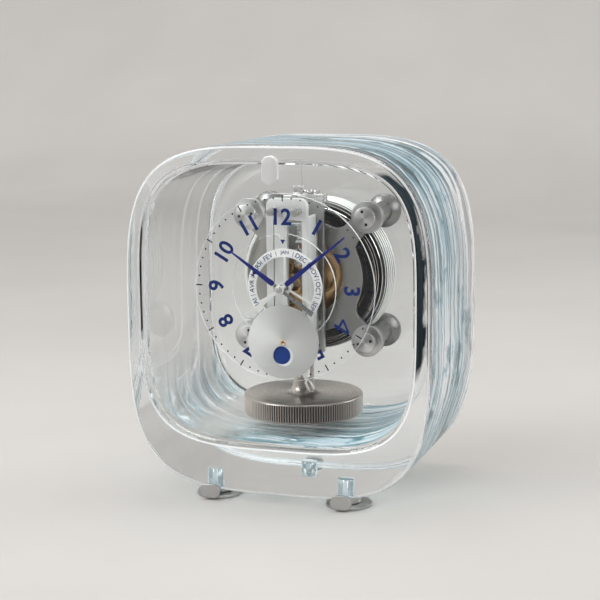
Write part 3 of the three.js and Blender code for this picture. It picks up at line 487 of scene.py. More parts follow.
class Coating(Surface):
    """A material being built: its tree, its main shader and where each point of the piece is."""

    def __init__(self, name: str, palette: Palette) -> None:
        """Start the material."""
        self.material = bpy.data.materials.new(name)
        self.material.use_nodes = True
        super().__init__(self.material.node_tree)
        self.palette = palette
        self.shader = self.tree.nodes["Principled BSDF"]
        self.where = self.node("TexCoord").outputs["Object"]

    def dress(self, given: Inputs) -> None:
        """Link or set the main shader's inputs."""
        self.feed(self.shader, given)

    def grain(self, worked: Grain) -> Node:
        """Place the grain group, centred on a piece."""
        place = {"Vector": self.where, "Location": [v * MM for v in worked.centre],
                 "Rotation": [math.radians(v) for v in worked.turn]}
        centred = self.node("Mapping", vector_type="TEXTURE")
        self.feed(centred, place)
        given = {"Vector": centred.outputs["Vector"], "Circular": float(worked.circular),
                 "Pitch": worked.pitch, "Stretch": worked.stretch}
        return self.node("Group", given, node_tree=self.palette.grain_group)

    def cloud(self, scale: float, stretch: Place | None = None) -> Socket:
        """Place the tone group, stretched where asked, and return its mask."""
        where = self.where
        if stretch:
            where = self.node("Mapping", {"Vector": where, "Scale": stretch}).outputs["Vector"]
        group = self.node("Group", {"Vector": where, "Scale": scale}, node_tree=self.palette.cloud_group)
        return group.outputs["Mask"]

    def spread(self, mask: Socket, low: float, high: float) -> Socket:
        """Map a mask to a range of values."""
        return self.ranged(mask, 0.25, 0.75, low, high)

    def bump(self, mask: Socket, strength: float, distance: float) -> Socket:
        """Add relief from a mask, its distance in millimetres."""
        given = {"Height": mask, "Strength": strength, "Distance": distance * MM}
        return self.node("Bump", given).outputs["Normal"]

    def hollowed(self, colour: Socket, hollow: Hollow) -> Socket:
        """Darken a colour towards the valleys of a turned surface.

        Args:
            colour: the colour on the crests.
            hollow: the valleys.

        Returns:
            The colour's socket.
        """
        x, y, z = self.split(self.where)
        across = z if hollow.axis is Axis.Y else y
        sides = [self.maths("SUBTRACT", side, middle * MM)
                 for side, middle in zip((x, across), hollow.centre)]
        reach = self.maths("SQRT", self.plus(*(self.times(side, side) for side in sides)))
        share = self.ranged(reach, hollow.floor * MM, hollow.crest * MM, hollow.shade, hollow.peak)
        facing = self.split(self.node("TexCoord").outputs["Normal"])[hollow.axis.value]
        flat = self.maths("GREATER_THAN", self.maths("ABSOLUTE", facing), hollow.flat)
        inner = self.maths("LESS_THAN", reach, (hollow.floor - 0.3) * MM)
        return self.scaled(colour, self.maths("MAXIMUM", self.maths("MAXIMUM", flat, inner), share))

    def faded(self, colour: Socket, start: float, end: float, shade: float) -> Socket:
        """Darken a colour from left to right, as if a dark room stood on its right.

        Args:
            colour: the full colour.
            start: x where the dark begins, in millimetres.
            end: x where it is full.
            shade: share of the colour that is left there.

        Returns:
            The colour's socket.
        """
        return self.scaled(colour, self.eased(self.split(self.where)[0], start * MM, end * MM, 1.0, shade))

    def over(self, amount: Socket, first: Node, second: Node) -> Node:
        """Mix a second shader over the first and show the result."""
        both = self.node("MixShader", {"Fac": amount, 1: first.outputs[0], 2: second.outputs[0]})
        self.link(both.outputs[0], self.tree.nodes["Material Output"].inputs["Surface"])
        return both


@dataclass(frozen=True)
class Finish:
    """A finish by name, with the material built at its first use."""

    name: str

    def make(self, palette: Palette, grain: Grain | None = None, suffix: str = "") -> bpy.types.Material:
        """Build or reuse the material.

        Args:
            palette: the shared groups.
            grain: a grain centred on one piece, or the finish's own.
            suffix: what tells that piece's material apart.

        Returns:
            The material.
        """
        label = self.name + suffix
        if label not in palette.made:
            coat = Coating(label, palette)
            self.cover(coat, grain)
            palette.made[label] = coat.material
        return palette.made[label]

    def cover(self, coat: Coating, grain: Grain | None) -> None:
        """Add the nodes that make this finish."""
        raise NotImplementedError


@dataclass(frozen=True)
class Metal(Finish):
    """A worked metal: two close tones, grain in its roughness and relief."""

    dark: Place
    light: Place
    roughness: Point
    relief: float = 0.25
    metallic: float = 1.0
    hollow: Hollow | None = None
    fade: Place | None = None
    fan: float = 0.0
    grain: Grain = field(default_factory=Grain)

    def cover(self, coat: Coating, grain: Grain | None) -> None:
        """Lay the tones, their shading and the grain."""
        group = coat.grain(grain or self.grain)
        worked = group.outputs["Mask"]
        colour = coat.two_tone(coat.cloud(30.0), self.dark, self.light)
        # Painted shade in the valleys of turned work.
        if self.hollow:
            colour = coat.hollowed(colour, self.hollow)
        # Painted shade towards the right, as a reflection of a dark room.
        if self.fade:
            colour = coat.faded(colour, *self.fade)
        # Painted sheen that fans round the grain's centre.
        if self.fan:
            colour = coat.scaled(colour, coat.plus(coat.times(group.outputs["Fan"], self.fan), 1.0))
        coat.dress({"Base Color": colour, "Roughness": coat.spread(worked, *self.roughness),
                    "Normal": coat.bump(worked, self.relief, 0.02), "Metallic": self.metallic})


@dataclass(frozen=True)
class Crystal(Finish):
    """Clear cast crystal: a faint tint, a soft ripple, and lamp light let through to what it holds."""

    tint: Place = (0.955, 0.985, 0.99)
    haze: Point = (0.0, 0.015)
    ripple: float = 0.0
    ripple_scale: float = 18.0
    index: float = 1.54
    # Strength of the painted reflection streaks, and how far they are held to the bottom; a hold also lays the
    # painted dark room.
    drawn: Point | None = None
    # Where the painted dark room lies on the cavity's right wall: x, depth and height ranges in millimetres.
    dark_side: tuple[Point, Point, Point] = ((56.0, 62.0), (0.0, 16.0), (88.0, 212.0))

    def cover(self, coat: Coating, grain: Grain | None) -> None:
        """Lay the clear shader, and the streaks where the crystal is drawn."""
        coat.dress({"Base Color": (*self.tint, 1), "Transmission Weight": 1.0, "IOR": self.index,
                    "Roughness": coat.spread(coat.cloud(25.0), *self.haze)})
        if self.ripple:
            coat.dress({"Normal": coat.bump(coat.cloud(self.ripple_scale, (0.25, 3.0, 0.25)), 1.0, self.ripple)})
        clear = coat.node("BsdfTransparent", {"Color": (0.9, 0.95, 0.955, 1)})
        glass = coat.over(coat.node("LightPath").outputs["Is Shadow Ray"], coat.shader, clear)
        if self.drawn:
            self._streak(coat, glass)

    def _streak(self, coat: Coating, glass: Node) -> None:
        """Lay the streaks over the glass where it is seen edge on.

        Args:
            coat: the material.
            glass: the clear shader.
        """
        strength, low = self.drawn
        group = coat.node("Group", {"Vector": coat.where, "Low": low}, node_tree=coat.palette.drawn_group)
        mask = group.outputs["Mask"]
        layer = coat.node("BsdfPrincipled", {"Base Color": group.outputs["Colour"],
                                             "Roughness": coat.spread(mask, 0.18, 0.3)})
        edge_on = coat.ranged(coat.node("LayerWeight").outputs["Facing"], 0.4, 0.66, 0.0, strength)
        amount = coat.times(edge_on, mask)
        if not low:
            amount = coat.times(amount, coat.node("LightPath").outputs["Is Camera Ray"])
        both = coat.over(amount, glass, layer)
        if low:
            self._inside_out(coat, both, edge_on)

    def _inside_out(self, coat: Coating, before: Node, edge_on: Socket) -> None:
        """Lay the dark room over the right wall of the cavity, where it is met from within the crystal.

        Args:
            coat: the material.
            before: the shader so far.
            edge_on: how far the wall is seen edge on.
        """
        x, y, z = coat.split(coat.where)
        inside = coat.node("NewGeometry").outputs["Backfacing"]
        amount = coat.times(inside, coat.times(edge_on, 1 / self.drawn[0]))
        shore = coat.plus(y, coat.times(coat.cloud(32.0, (0.5, 0.5, 1.0)), 0.13), -0.065)
        side, depth, (bottom, top) = self.dark_side
        for place, start, end, low, high in ((x, *side, 0.0, 1.0), (shore, *depth, 1.0, 0.0),
                                             (z, bottom - 10.0, bottom, 0.0, 1.0), (z, top - 6.0, top, 1.0, 0.0)):
            amount = coat.times(amount, coat.ranged(place, start * MM, end * MM, low, high))
        # The painted dark reflection itself.
        tone = coat.cloud(30.0, (1.0, 6.0, 0.6))
        colour = coat.two_tone(tone, (0.004, 0.006, 0.008), (0.05, 0.065, 0.075))
        room = coat.node("BsdfPrincipled", {"Specular IOR Level": 0.0, "Base Color": colour})
        coat.over(amount, before, room)


@dataclass(frozen=True)
class Veil(Finish):
    """Thin clear plate that only veils what is behind it: a pale gloss with a low alpha."""

    colour: Place
    alpha: float
    roughness: Point = (0.2, 0.35)

    def cover(self, coat: Coating, grain: Grain | None) -> None:
        """Lay the pale gloss."""
        tone = coat.cloud(90.0)
        shade = tuple(v * 0.94 for v in self.colour)
        coat.dress({"Base Color": coat.two_tone(tone, shade, self.colour),
                    "Roughness": coat.spread(tone, *self.roughness),
                    "Alpha": coat.spread(tone, self.alpha * 0.94, self.alpha), "Specular IOR Level": 0.3})


@dataclass(frozen=True)
class Coat(Finish):
    """An opaque ink, enamel or bluing with a faint mottle."""

    dark: Place
    light: Place
    roughness: Point = (0.3, 0.45)
    gloss: float = 0.5
    clear: float = 0.0

    def cover(self, coat: Coating, grain: Grain | None) -> None:
        """Lay the colour and its gloss."""
        tone = coat.cloud(400.0)
        coat.dress({"Base Color": coat.two_tone(tone, self.dark, self.light),
                    "Roughness": coat.spread(tone, *self.roughness),
                    "Specular IOR Level": self.gloss, "Coat Weight": self.clear})


# Several finishes paint light into their colour: a painted sheen that fans round a centre, painted shade that
# darkens them towards the right as a reflection of a dark room, and painted shade in the valleys of turned work.
SATIN_STEEL = Metal("satin_steel", (0.46, 0.455, 0.445), (0.54, 0.535, 0.525), (0.26, 0.34), relief=0.1)
POST_STEEL = Metal("post_steel", (0.25, 0.246, 0.24), (0.31, 0.306, 0.298), (0.27, 0.35), relief=0.08, fan=0.15)
# Dark steel painted on the caps' side walls as shade.
CAP_SIDE_SHADE = Metal("cap_side_shade", (0.14, 0.138, 0.134), (0.2, 0.198, 0.192), (0.3, 0.4), relief=0.08)
FRAME_STEEL = Metal("frame_steel", (0.43, 0.42, 0.405), (0.50, 0.49, 0.475), (0.28, 0.36), relief=0.1,
                    fade=(-30.0, 50.0, 0.68))
CAP_STEEL = Metal("cap_steel", (0.66, 0.655, 0.645), (0.74, 0.735, 0.725), (0.26, 0.36), relief=0.15,
                  fade=(-30.0, 70.0, 0.66), fan=0.3)
SATIN_SILVER = Metal("satin_silver", (0.80, 0.795, 0.785), (0.88, 0.875, 0.865), (0.28, 0.42), metallic=0.6)
HEAD_SILVER = Metal("head_silver", (0.84, 0.835, 0.825), (0.92, 0.915, 0.905), (0.05, 0.12), relief=0.1)
PALE_SATIN = Metal("pale_satin", (0.82, 0.81, 0.795), (0.88, 0.87, 0.855), (0.35, 0.5), relief=0.12, metallic=0.3)
STUD = Metal("stud_bright", (0.60, 0.70, 0.74), (0.84, 0.90, 0.93), (0.12, 0.2), relief=0.1, metallic=0.85)
WARM_NICKEL = Metal("warm_nickel", (0.40, 0.362, 0.337), (0.46, 0.423, 0.398), (0.25, 0.33), relief=0.05, fan=0.5)
POLISHED = Metal("polished_steel", (0.74, 0.74, 0.74), (0.80, 0.80, 0.80), (0.03, 0.08), relief=0.05)
# The mirror is painted nearly black on its right, a painted reflection of a dark room.
CAPSULE_MIRROR = Metal("capsule_mirror", (0.78, 0.78, 0.78), (0.84, 0.84, 0.84), (0.04, 0.1), relief=0.05,
                       fade=(-14.0, 12.0, 0.035))
BRIGHT_RIB = Metal("bright_rib", (0.86, 0.855, 0.83), (0.92, 0.915, 0.89), (0.2, 0.3), relief=0.1, metallic=0.45)
SHADED_SILVER = Metal("shaded_silver", (0.22, 0.225, 0.235), (0.30, 0.305, 0.315), (0.24, 0.34), relief=0.1)
GILT = Metal("gilt_brass", (0.72, 0.46, 0.22), (0.82, 0.56, 0.30), (0.18, 0.30), relief=0.15)
BLUED = Coat("blued_steel", (0.010, 0.016, 0.125), (0.015, 0.023, 0.17), (0.3, 0.4), gloss=0.15)
INK = Coat("dial_ink", (0.009, 0.022, 0.12), (0.013, 0.03, 0.15), (0.5, 0.6), gloss=0.08)
TRACK_INK = Coat("track_ink", (0.004, 0.006, 0.022), (0.007, 0.010, 0.034), (0.5, 0.6), gloss=0.08)
NIGHT_BLUE = Coat("night_enamel", (0.008, 0.035, 0.18), (0.012, 0.048, 0.235), (0.35, 0.5), gloss=0.15)
MOON_WHITE = Coat("moon_enamel", (0.72, 0.73, 0.72), (0.85, 0.85, 0.84), (0.3, 0.4))
RUBY = Coat("ruby", (0.35, 0.02, 0.08), (0.5, 0.04, 0.12), (0.05, 0.12), clear=0.8)
DARK_RUBY = Coat("dark_ruby", (0.03, 0.002, 0.006), (0.07, 0.004, 0.012), (0.1, 0.2))
SHADE = Coat("hole_shade", (0.004, 0.004, 0.004), (0.01, 0.01, 0.01), (0.6, 0.8))
MOON_SATIN = Metal("moon_satin", (0.71, 0.70, 0.687), (0.77, 0.76, 0.745), (0.34, 0.46), relief=0.2, metallic=0.45,
                   fade=(-20.0, 24.0, 0.6), fan=0.16)
CASE_CRYSTAL = Crystal("case_crystal", tint=(0.94, 0.968, 0.975), ripple=0.05)
# The side and cavity crystals carry painted reflection streaks.
SIDE_CRYSTAL = Crystal("side_crystal", tint=(0.94, 0.968, 0.975), ripple=0.05, drawn=(0.9, 0.0))
CAVITY_CRYSTAL = Crystal("cavity_crystal", tint=(0.97, 0.985, 0.99), ripple=0.05, drawn=(0.85, 1.0))
# Painted highlight: a near white veil on the rim bevels and the lip; the stud bores get a painted pale teal light.
LIT_EDGE = Veil("lit_edge", (0.97, 0.985, 1.0), 0.85, (0.15, 0.3))
LIT_BORE = Veil("lit_bore", (0.80, 0.91, 0.96), 0.22, (0.15, 0.3))
PANE_CRYSTAL = Crystal("pane_crystal", tint=(0.985, 0.995, 0.995), index=1.3)
DIAL_CRYSTAL = Veil("dial_crystal", (0.60, 0.60, 0.60), 0.012)
# Painted highlight along the dial ring's edges.
DIAL_RIM_HIGHLIGHT = Veil("dial_rim_highlight", (0.90, 0.91, 0.91), 0.75, (0.1, 0.2))


# Bench work


@dataclass
class Bench:
    """Makes meshes by hand operations and seats them on the frame; every assembly is made on one."""

    palette: Palette

    @staticmethod
    def clear() -> None:
        """Leave edit mode and deselect everything."""
        if bpy.context.object and bpy.context.object.mode == "EDIT":
            bpy.ops.object.mode_set(mode="OBJECT")
        bpy.ops.object.select_all(action="DESELECT")

    @staticmethod
    def hold(piece: Piece) -> None:
        """Select one object and make it active."""
        Bench.clear()
        piece.select_set(True)
        bpy.context.view_layer.objects.active = piece

    @staticmethod
    def enter() -> None:
        """Edit the active object with everything selected."""
        bpy.ops.object.mode_set(mode="EDIT")
        bpy.ops.mesh.select_all(action="SELECT")

    @staticmethod
    def leave(merge: float = 0.0) -> None:
        """Merge what is closer than this, face everything outwards and stop editing."""
        bpy.ops.mesh.select_all(action="SELECT")
        if merge:
            bpy.ops.mesh.remove_doubles(threshold=merge)
        bpy.ops.mesh.normals_make_consistent(inside=False)
        bpy.ops.object.mode_set(mode="OBJECT")
        bpy.ops.object.transform_apply(location=True, rotation=True, scale=True)

    @staticmethod
    def push(vector: Place) -> None:
        """Extrude what is selected in edit mode by a step in millimetres."""
        bpy.ops.mesh.extrude_region_move(TRANSFORM_OT_translate={"value": [v * MM for v in vector]})

    @staticmethod
    def widen(share: Place, centre: Place) -> None:
        """Scale what is selected about a centre in millimetres."""
        bpy.ops.transform.resize(value=share, center_override=[v * MM for v in centre])

    def modify(self, piece: Piece, kind: str, **settings: object) -> None:
        """Add a modifier and apply it.

        Args:
            piece: the object.
            kind: the modifier's type.
            settings: its properties.
        """
        self.hold(piece)
        modifier = piece.modifiers.new(kind.lower(), kind)
        for name, value in settings.items():
            setattr(modifier, name, value)
        bpy.ops.object.modifier_apply(modifier=modifier.name)

    def turned(self, profile: Profile, centre: Point, facets: int, ring: bool = False,
               axis: Axis = Axis.Y) -> Piece:
        """Turn a piece from a circle, extruded and scaled along its axis.

        Args:
            profile: radius and place along the axis, radii above zero.
            centre: x and z of a Y axis, x and y of a Z axis.
            facets: sides of the circle.
            ring: True if the profile closes on itself, False if flat ends close it.
            axis: Y or Z.

        Returns:
            The object.
        """
        self.clear()
        radius, start = profile[0]
        along_y = axis is Axis.Y

        def at(place: float) -> Place:
            return (centre[0], place, centre[1]) if along_y else (centre[0], centre[1], place)

        bpy.ops.mesh.primitive_circle_add(
            vertices=facets, radius=radius * MM, fill_type="NOTHING" if ring else "NGON",
            location=[v * MM for v in at(start)], rotation=(math.pi / 2, 0, 0) if along_y else (0, 0, 0),
        )
        piece = bpy.context.object
        self.enter()
        for (before, here), (after, there) in zip(profile, profile[1:]):
            self.push((0, there - here, 0) if along_y else (0, 0, there - here))
            share = after / before
            if share != 1:
                self.widen((share, 1, share) if along_y else (share, share, 1), at(there))
        self.leave(MERGE)
        return piece

    def plate(self, outlines: list[Profile], near: float, far: float, edge: float, steps: int) -> Piece:
        """Cut a flat plate from outlines drawn in x and z.

        Args:
            outlines: the outer outline, then any holes.
            near: depth of its front face.
            far: depth of its back face.
            edge: rounding of its edges.
            steps: steps of that rounding.

        Returns:
            The object.
        """
        self.clear()
        drawing = bpy.data.curves.new("drawing", "CURVE")
        drawing.dimensions, drawing.fill_mode = "2D", "BOTH"
        drawing.extrude = ((far - near) / 2 - edge) * MM
        drawing.bevel_depth = edge * MM
        drawing.bevel_resolution = steps
        drawing.offset = -edge * MM
        for points in outlines:
            spline = drawing.splines.new("POLY")
            spline.points.add(len(points) - 1)
            for corner, (x, z) in zip(spline.points, points):
                corner.co = (x * MM, z * MM, 0, 1)
            spline.use_cyclic_u = True
        piece = bpy.data.objects.new("drawing", drawing)
        bpy.context.scene.collection.objects.link(piece)
        self.hold(piece)
        bpy.ops.object.convert(target="MESH")
        piece = bpy.context.object
        piece.rotation_euler = (math.pi / 2, 0, 0)
        piece.location = (0, (near + far) / 2 * MM, 0)
        bpy.ops.object.transform_apply(location=True, rotation=True, scale=True)
        self.enter()
        self.leave(MERGE)
        return piece

    def block(self, low: Place, high: Place, edge: float) -> Piece:
        """Cut a rectangular block with rounded edges.

        Args:
            low: its lowest corner.
            high: its highest corner.
            edge: the rounding.

        Returns:
            The object.
        """
        self.clear()
        middle = [(a + b) / 2 * MM for a, b in zip(low, high)]
        bpy.ops.mesh.primitive_cube_add(size=1, location=middle)
        piece = bpy.context.object
        self.enter()
        bpy.ops.transform.resize(value=[(b - a) * MM for a, b in zip(low, high)], center_override=middle)
        self.leave()
        if edge:
            self.modify(piece, "BEVEL", width=edge * MM, segments=3, limit_method="ANGLE",
                        angle_limit=math.radians(30), use_clamp_overlap=True)
        return piece

    def drill(self, piece: Piece, tool: Piece) -> None:
        """Cut a tool out of a piece and discard it."""
        self.modify(piece, "BOOLEAN", operation="DIFFERENCE", object=tool, solver="EXACT")
        bpy.data.objects.remove(tool)

    def gather(self, pieces: list[Piece]) -> Piece:
        """Join separate meshes into one object."""
        self.clear()
        for piece in pieces:
            piece.select_set(True)
        bpy.context.view_layer.objects.active = pieces[0]
        bpy.ops.object.join()
        return pieces[0]

    @staticmethod
    def copied(piece: Piece, shift: Matrix) -> Piece:
        """Copy a piece with its own mesh and move that mesh by a shift in metres."""
        copy = piece.copy()
        copy.data = piece.data.copy()
        bpy.context.scene.collection.objects.link(copy)
        copy.data.transform(shift)
        return copy

    def lettering(self, text: str, height: float, spot: Point, turn: float, near: float, depth: float,
                  weight: float = 0.0) -> Piece:
        """Set flat lettering that faces the front, as a thin inlay.

        Args:
            text: what it says.
            height: height of its capitals.
            spot: its middle in x and z.
            turn: clockwise turn of its top.
            near: depth of its back face.
            depth: how far it stands forward.
            weight: how much its strokes are thickened, as a share of the height.

        Returns:
            The object.
        """
        self.clear()
        bpy.ops.object.text_add()
        words = bpy.context.object.data
        words.body, words.resolution_u, words.offset = text, 5, weight
        words.align_x, words.align_y = "CENTER", "CENTER"
        bpy.ops.object.convert(target="MESH")
        piece = bpy.context.object
        rise = [v.co.y for v in piece.data.vertices]
        across = [v.co.x for v in piece.data.vertices]
        share = height * MM / (max(rise) - min(rise))
        middle = Vector(((max(across) + min(across)) / 2, (max(rise) + min(rise)) / 2, 0))
        self.enter()
        bpy.ops.mesh.remove_doubles(threshold=1e-5)
        self.push((0, 0, depth / share))
        self.leave()
        place = Matrix.Translation(Vector((spot[0], near, spot[1])) * MM)
        stand = Matrix.Rotation(math.radians(turn), 4, "Y") @ Matrix.Rotation(math.pi / 2, 4, "X")
        piece.data.transform(place @ stand @ Matrix.Scale(share, 4) @ Matrix.Translation(-middle))
        return piece

    def seat(self, piece: Piece, name: str, body: str, material: bpy.types.Material, slot: str,
             nodes: tuple[str, ...] = (), smooth: float = 35.0) -> None:
        """Name, shade, dress and mount a finished piece.

        Args:
            piece: the object.
            name: its final name.
            body: the CAD body that it rides on.
            material: its finish, unless it has one.
            slot: the record's material slot.
            nodes: CAD nodes that it stands for.
            smooth: edges flatter than this many degrees are smooth.
        """
        self.hold(piece)
        piece.name = name
        piece.data.name = name
        bpy.ops.object.shade_smooth_by_angle(angle=math.radians(smooth))
        if not piece.data.materials:
            piece.data.materials.append(material)
        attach(piece, body)
        if nodes:
            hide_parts(*nodes)
        log.info("%s on %s: %d faces", name, body, len(piece.data.polygons))


# Case


class Skin(IntEnum):
    """The cabinet's finishes in the order that its faces count them."""

    CLEAR = 0
    SIDE = 1
    CAVITY = 2
    LIT_EDGE = 3
    LIT_BORE = 4


@dataclass
class CrystalCase(Bench):
    """The thick crystal cabinet, its lift-off pane and the pull."""

    outer_power: float = 3.66
    opening: Point = (176.2, 176.9)
    opening_power: float = 3.89
    opening_floor: float = 30.4
    rim_round: float = 2.4
    shy: float = 0.02
    lip: float = 1.8
    lit_lip: float = 0.8
    lit_front: Point = (0.05, 0.25)
    lit_back: float = 0.6
    depth: float = 123.5
    pane_back: float = 8.5
    ledge: float = 1.4
    back_wall: float = 12.0
    fillet: float = 9.0
    draft: float = 0.967
    pane_gap: float = 0.3
    pane_bevel: float = 0.8
    screw_bore: float = 3.5
    stud_bore: float = 5.6
    boss_radius: float = 3.4
    boss_depth: float = 4.6
    boss_drop: float = 4.6
    corner_steps: int = 40
    rim_steps: int = 6
    fillet_steps: int = 8

    def build(self) -> None:
        """Make the cabinet, pane and pull."""
        self._cabinet()
        self._pane()
        self._pull()

    def _outline(self, size: Point, power: float, middle: Place) -> Piece:
        """Start a piece as a superellipse: a square whose corners are bevelled to the middle of its sides.

        Args:
            size: width and height.
            power: the superellipse's power.
            middle: its centre.

        Returns:
            The object, in edit mode with its one face selected.
        """
        self.clear()
        place = [v * MM for v in middle]
        bpy.ops.mesh.primitive_plane_add(size=2 * MM, location=place, rotation=(math.pi / 2, 0, 0))
        piece = bpy.context.object
        self.enter()
        bpy.ops.mesh.bevel(affect="VERTICES", offset_type="PERCENT", offset_pct=50, segments=self.corner_steps,
                           profile=2 ** (-2 / power))
        bpy.ops.mesh.select_all(action="SELECT")
        bpy.ops.mesh.remove_doubles(threshold=1e-8)
        self.widen((size[0] / 2, 1, size[1] / 2), middle)
        return piece

    def _chain(self, size: Point, middle: Place, steps: list[Point]) -> None:
        """Extrude the selected face through insets and depths, and close the piece.

        Args:
            size: the face's width and height.
            middle: its centre.
            steps: inset from that size, and depth, of each further loop.
        """
        before, here = 0.0, middle[1]
        for inset, depth in steps:
            self.push((0, depth - here, 0))
            share = [(length / 2 - inset) / (length / 2 - before) for length in size]
            if inset != before:
                self.widen((share[0], 1, share[1]), (middle[0], depth, middle[2]))
            before, here = inset, depth
        self.leave()

    def _cabinet(self) -> None:
        """The cabinet: outer skin with rounded rims, less the cavity, the stud bores and the screw holes."""
        span = Span.of("crystal_cabinet")
        front, back = span.low.y, span.high.y
        self.outer = (span.size.x - self.shy, span.size.z - self.shy)
        r = self.rim_round
        middle = (0, front, up(self.outer[1] / 2))
        first = (self.outer[0] - 2 * r, self.outer[1] - 2 * r)
        case = self._outline(first, self.outer_power, middle)
        quarter = [math.pi / 2 * i / self.rim_steps for i in range(1, self.rim_steps + 1)]
        near = [(-r * math.sin(a), front + r * (1 - math.cos(a))) for a in quarter]
        far = [(-r * math.cos(a), back - r * (1 - math.sin(a))) for a in quarter]
        self._chain(first, middle, near + [(-r, back - r)] + far)
        self.drill(case, self._cavity(front, back))
        for corner in Corner:
            spot = Span.of(f"post_screw_{corner.label}").spot
            bore = [(self.screw_bore, back - self.back_wall - 2), (self.screw_bore, back + 2)]
            self.drill(case, self.turned(bore, spot, 48))
        for foot in FootPlace:
            pad = Span.of(f"levelling_pad_{foot.label}").middle
            top = Span.of(f"foot_{foot.label}").high.z + 0.3
            bore = [(self.stud_bore, span.low.z - 2), (self.stud_bore, top)]
            self.drill(case, self.turned(bore, (pad.x, pad.y), 48, axis=Axis.Z))
        self._finish(case, front)
        self.seat(case, "cabinet_crystal", "case", CASE_CRYSTAL.make(self.palette), "crystal",
                  ("crystal_cabinet",), smooth=25)
        self.modify(case, "WEIGHTED_NORMAL", weight=100, keep_sharp=True)

    def _finish(self, case: Piece, front: float) -> None:
        """Give the outer sides, the cavity's walls, the lit edges and the stud bores their own finish.

        Args:
            case: the cabinet.
            front: depth of its front face.
        """
        for finish in (CASE_CRYSTAL, SIDE_CRYSTAL, CAVITY_CRYSTAL, LIT_EDGE, LIT_BORE):
            case.data.materials.append(finish.make(self.palette))
        height = up(self.outer[1] / 2)
        pads = [Span.of(f"levelling_pad_{foot.label}").middle for foot in FootPlace]
        r = self.rim_round
        begin, end = (r * part for part in self.lit_front)
        for face in case.data.polygons:
            spot = face.center / MM
            x, z = abs(2 * spot.x / self.outer[0]), abs(2 * (spot.z - height) / self.outer[1])
            share = (x ** self.outer_power + z ** self.outer_power) ** (1 / self.outer_power)
            outer = share > 1 - 2.2 * r / self.outer[0]
            behind = spot.y - front
            rim = begin < behind < end or 0 < self.depth - behind < self.lit_back * r
            # Painted highlight on the rims and the lip, painted pale light in the stud bores, painted reflection
            # streaks on sides and cavity walls.
            if rim if outer else 0.1 < behind < self.lit_lip:
                face.material_index = Skin.LIT_EDGE
            elif (abs(face.normal.z) < 0.5 and spot.z < up(self.opening_floor / 2)
                  and any(math.hypot(spot.x - pad.x, spot.y - pad.y) < self.stud_bore + 0.1 for pad in pads)):
                face.material_index = Skin.LIT_BORE
            elif outer and r <= behind and abs(face.normal.y) < 0.5:
                face.material_index = Skin.SIDE
            elif not outer and behind > self.pane_back and abs(face.normal.y) < 0.8:
                face.material_index = Skin.CAVITY

    def _cavity(self, front: float, back: float) -> Piece:
        """The space inside as a solid tool.

        Args:
            front: depth of the cabinet's front face.
            back: depth of its back face.

        Returns:
            The tool.
        """
        start = 1.0
        grow = self.lip + start
        middle = (0, front - start, up(self.opening_floor + self.opening[1] / 2))
        size = (self.opening[0] + 2 * grow, self.opening[1] + 2 * grow)
        tool = self._outline(size, self.opening_power, middle)
        rebate = front + self.pane_back
        narrow = grow + self.ledge + self.opening[0] / 2 * (1 - self.draft)
        fillet_start = back - self.back_wall - self.fillet
        steps = [(start + self.lit_lip, front + self.lit_lip), (grow, front + self.lip), (grow, rebate),
                 (grow + self.ledge, rebate + 0.4), (narrow, fillet_start)]
        for i in range(1, self.fillet_steps + 1):
            angle = math.pi / 2 * i / self.fillet_steps
            inset, depth = 1 - math.cos(angle), math.sin(angle)
            steps.append((narrow + self.fillet * inset, fillet_start + self.fillet * depth))
        self._chain(size, middle, steps)
        return tool

    def _pane(self) -> None:
        """The front pane with its bevelled edge."""
        span = Span.of("front_pane")
        middle = (0, span.low.y, span.middle.z)
        gap, bevel = self.pane_gap, self.pane_bevel
        size = (self.opening[0] - 2 * (gap + bevel), self.opening[1] - 2 * (gap + bevel))
        pane = self._outline(size, self.opening_power, middle)
        self._chain(size, middle, [(-bevel, span.low.y + bevel), (-bevel, span.high.y)])
        crystal = PANE_CRYSTAL.make(self.palette)
        self.seat(pane, "front_pane_crystal", "pane", crystal, "crystal", ("front_pane",))

    def _pull(self) -> None:
        """The lozenge pull and the boss that holds it to the pane."""
        span, pane = Span.of("pane_pull"), Span.of("front_pane").low.y
        outline = slot_outline((0, span.middle.z), span.size.x, span.size.z)
        lozenge = self.plate([outline], span.low.y, pane - 4.5, 0.7, 4)
        neck = [(self.boss_radius, pane - self.boss_depth), (self.boss_radius, pane - 0.1)]
        boss = self.turned(neck, (0, span.middle.z - self.boss_drop), 48)
        satin = PALE_SATIN.make(self.palette, Grain(circular=False), "_pull")
        self.seat(self.gather([lozenge, boss]), "pane_pull_silver", "pane", satin, "silver", ("pane_pull",))


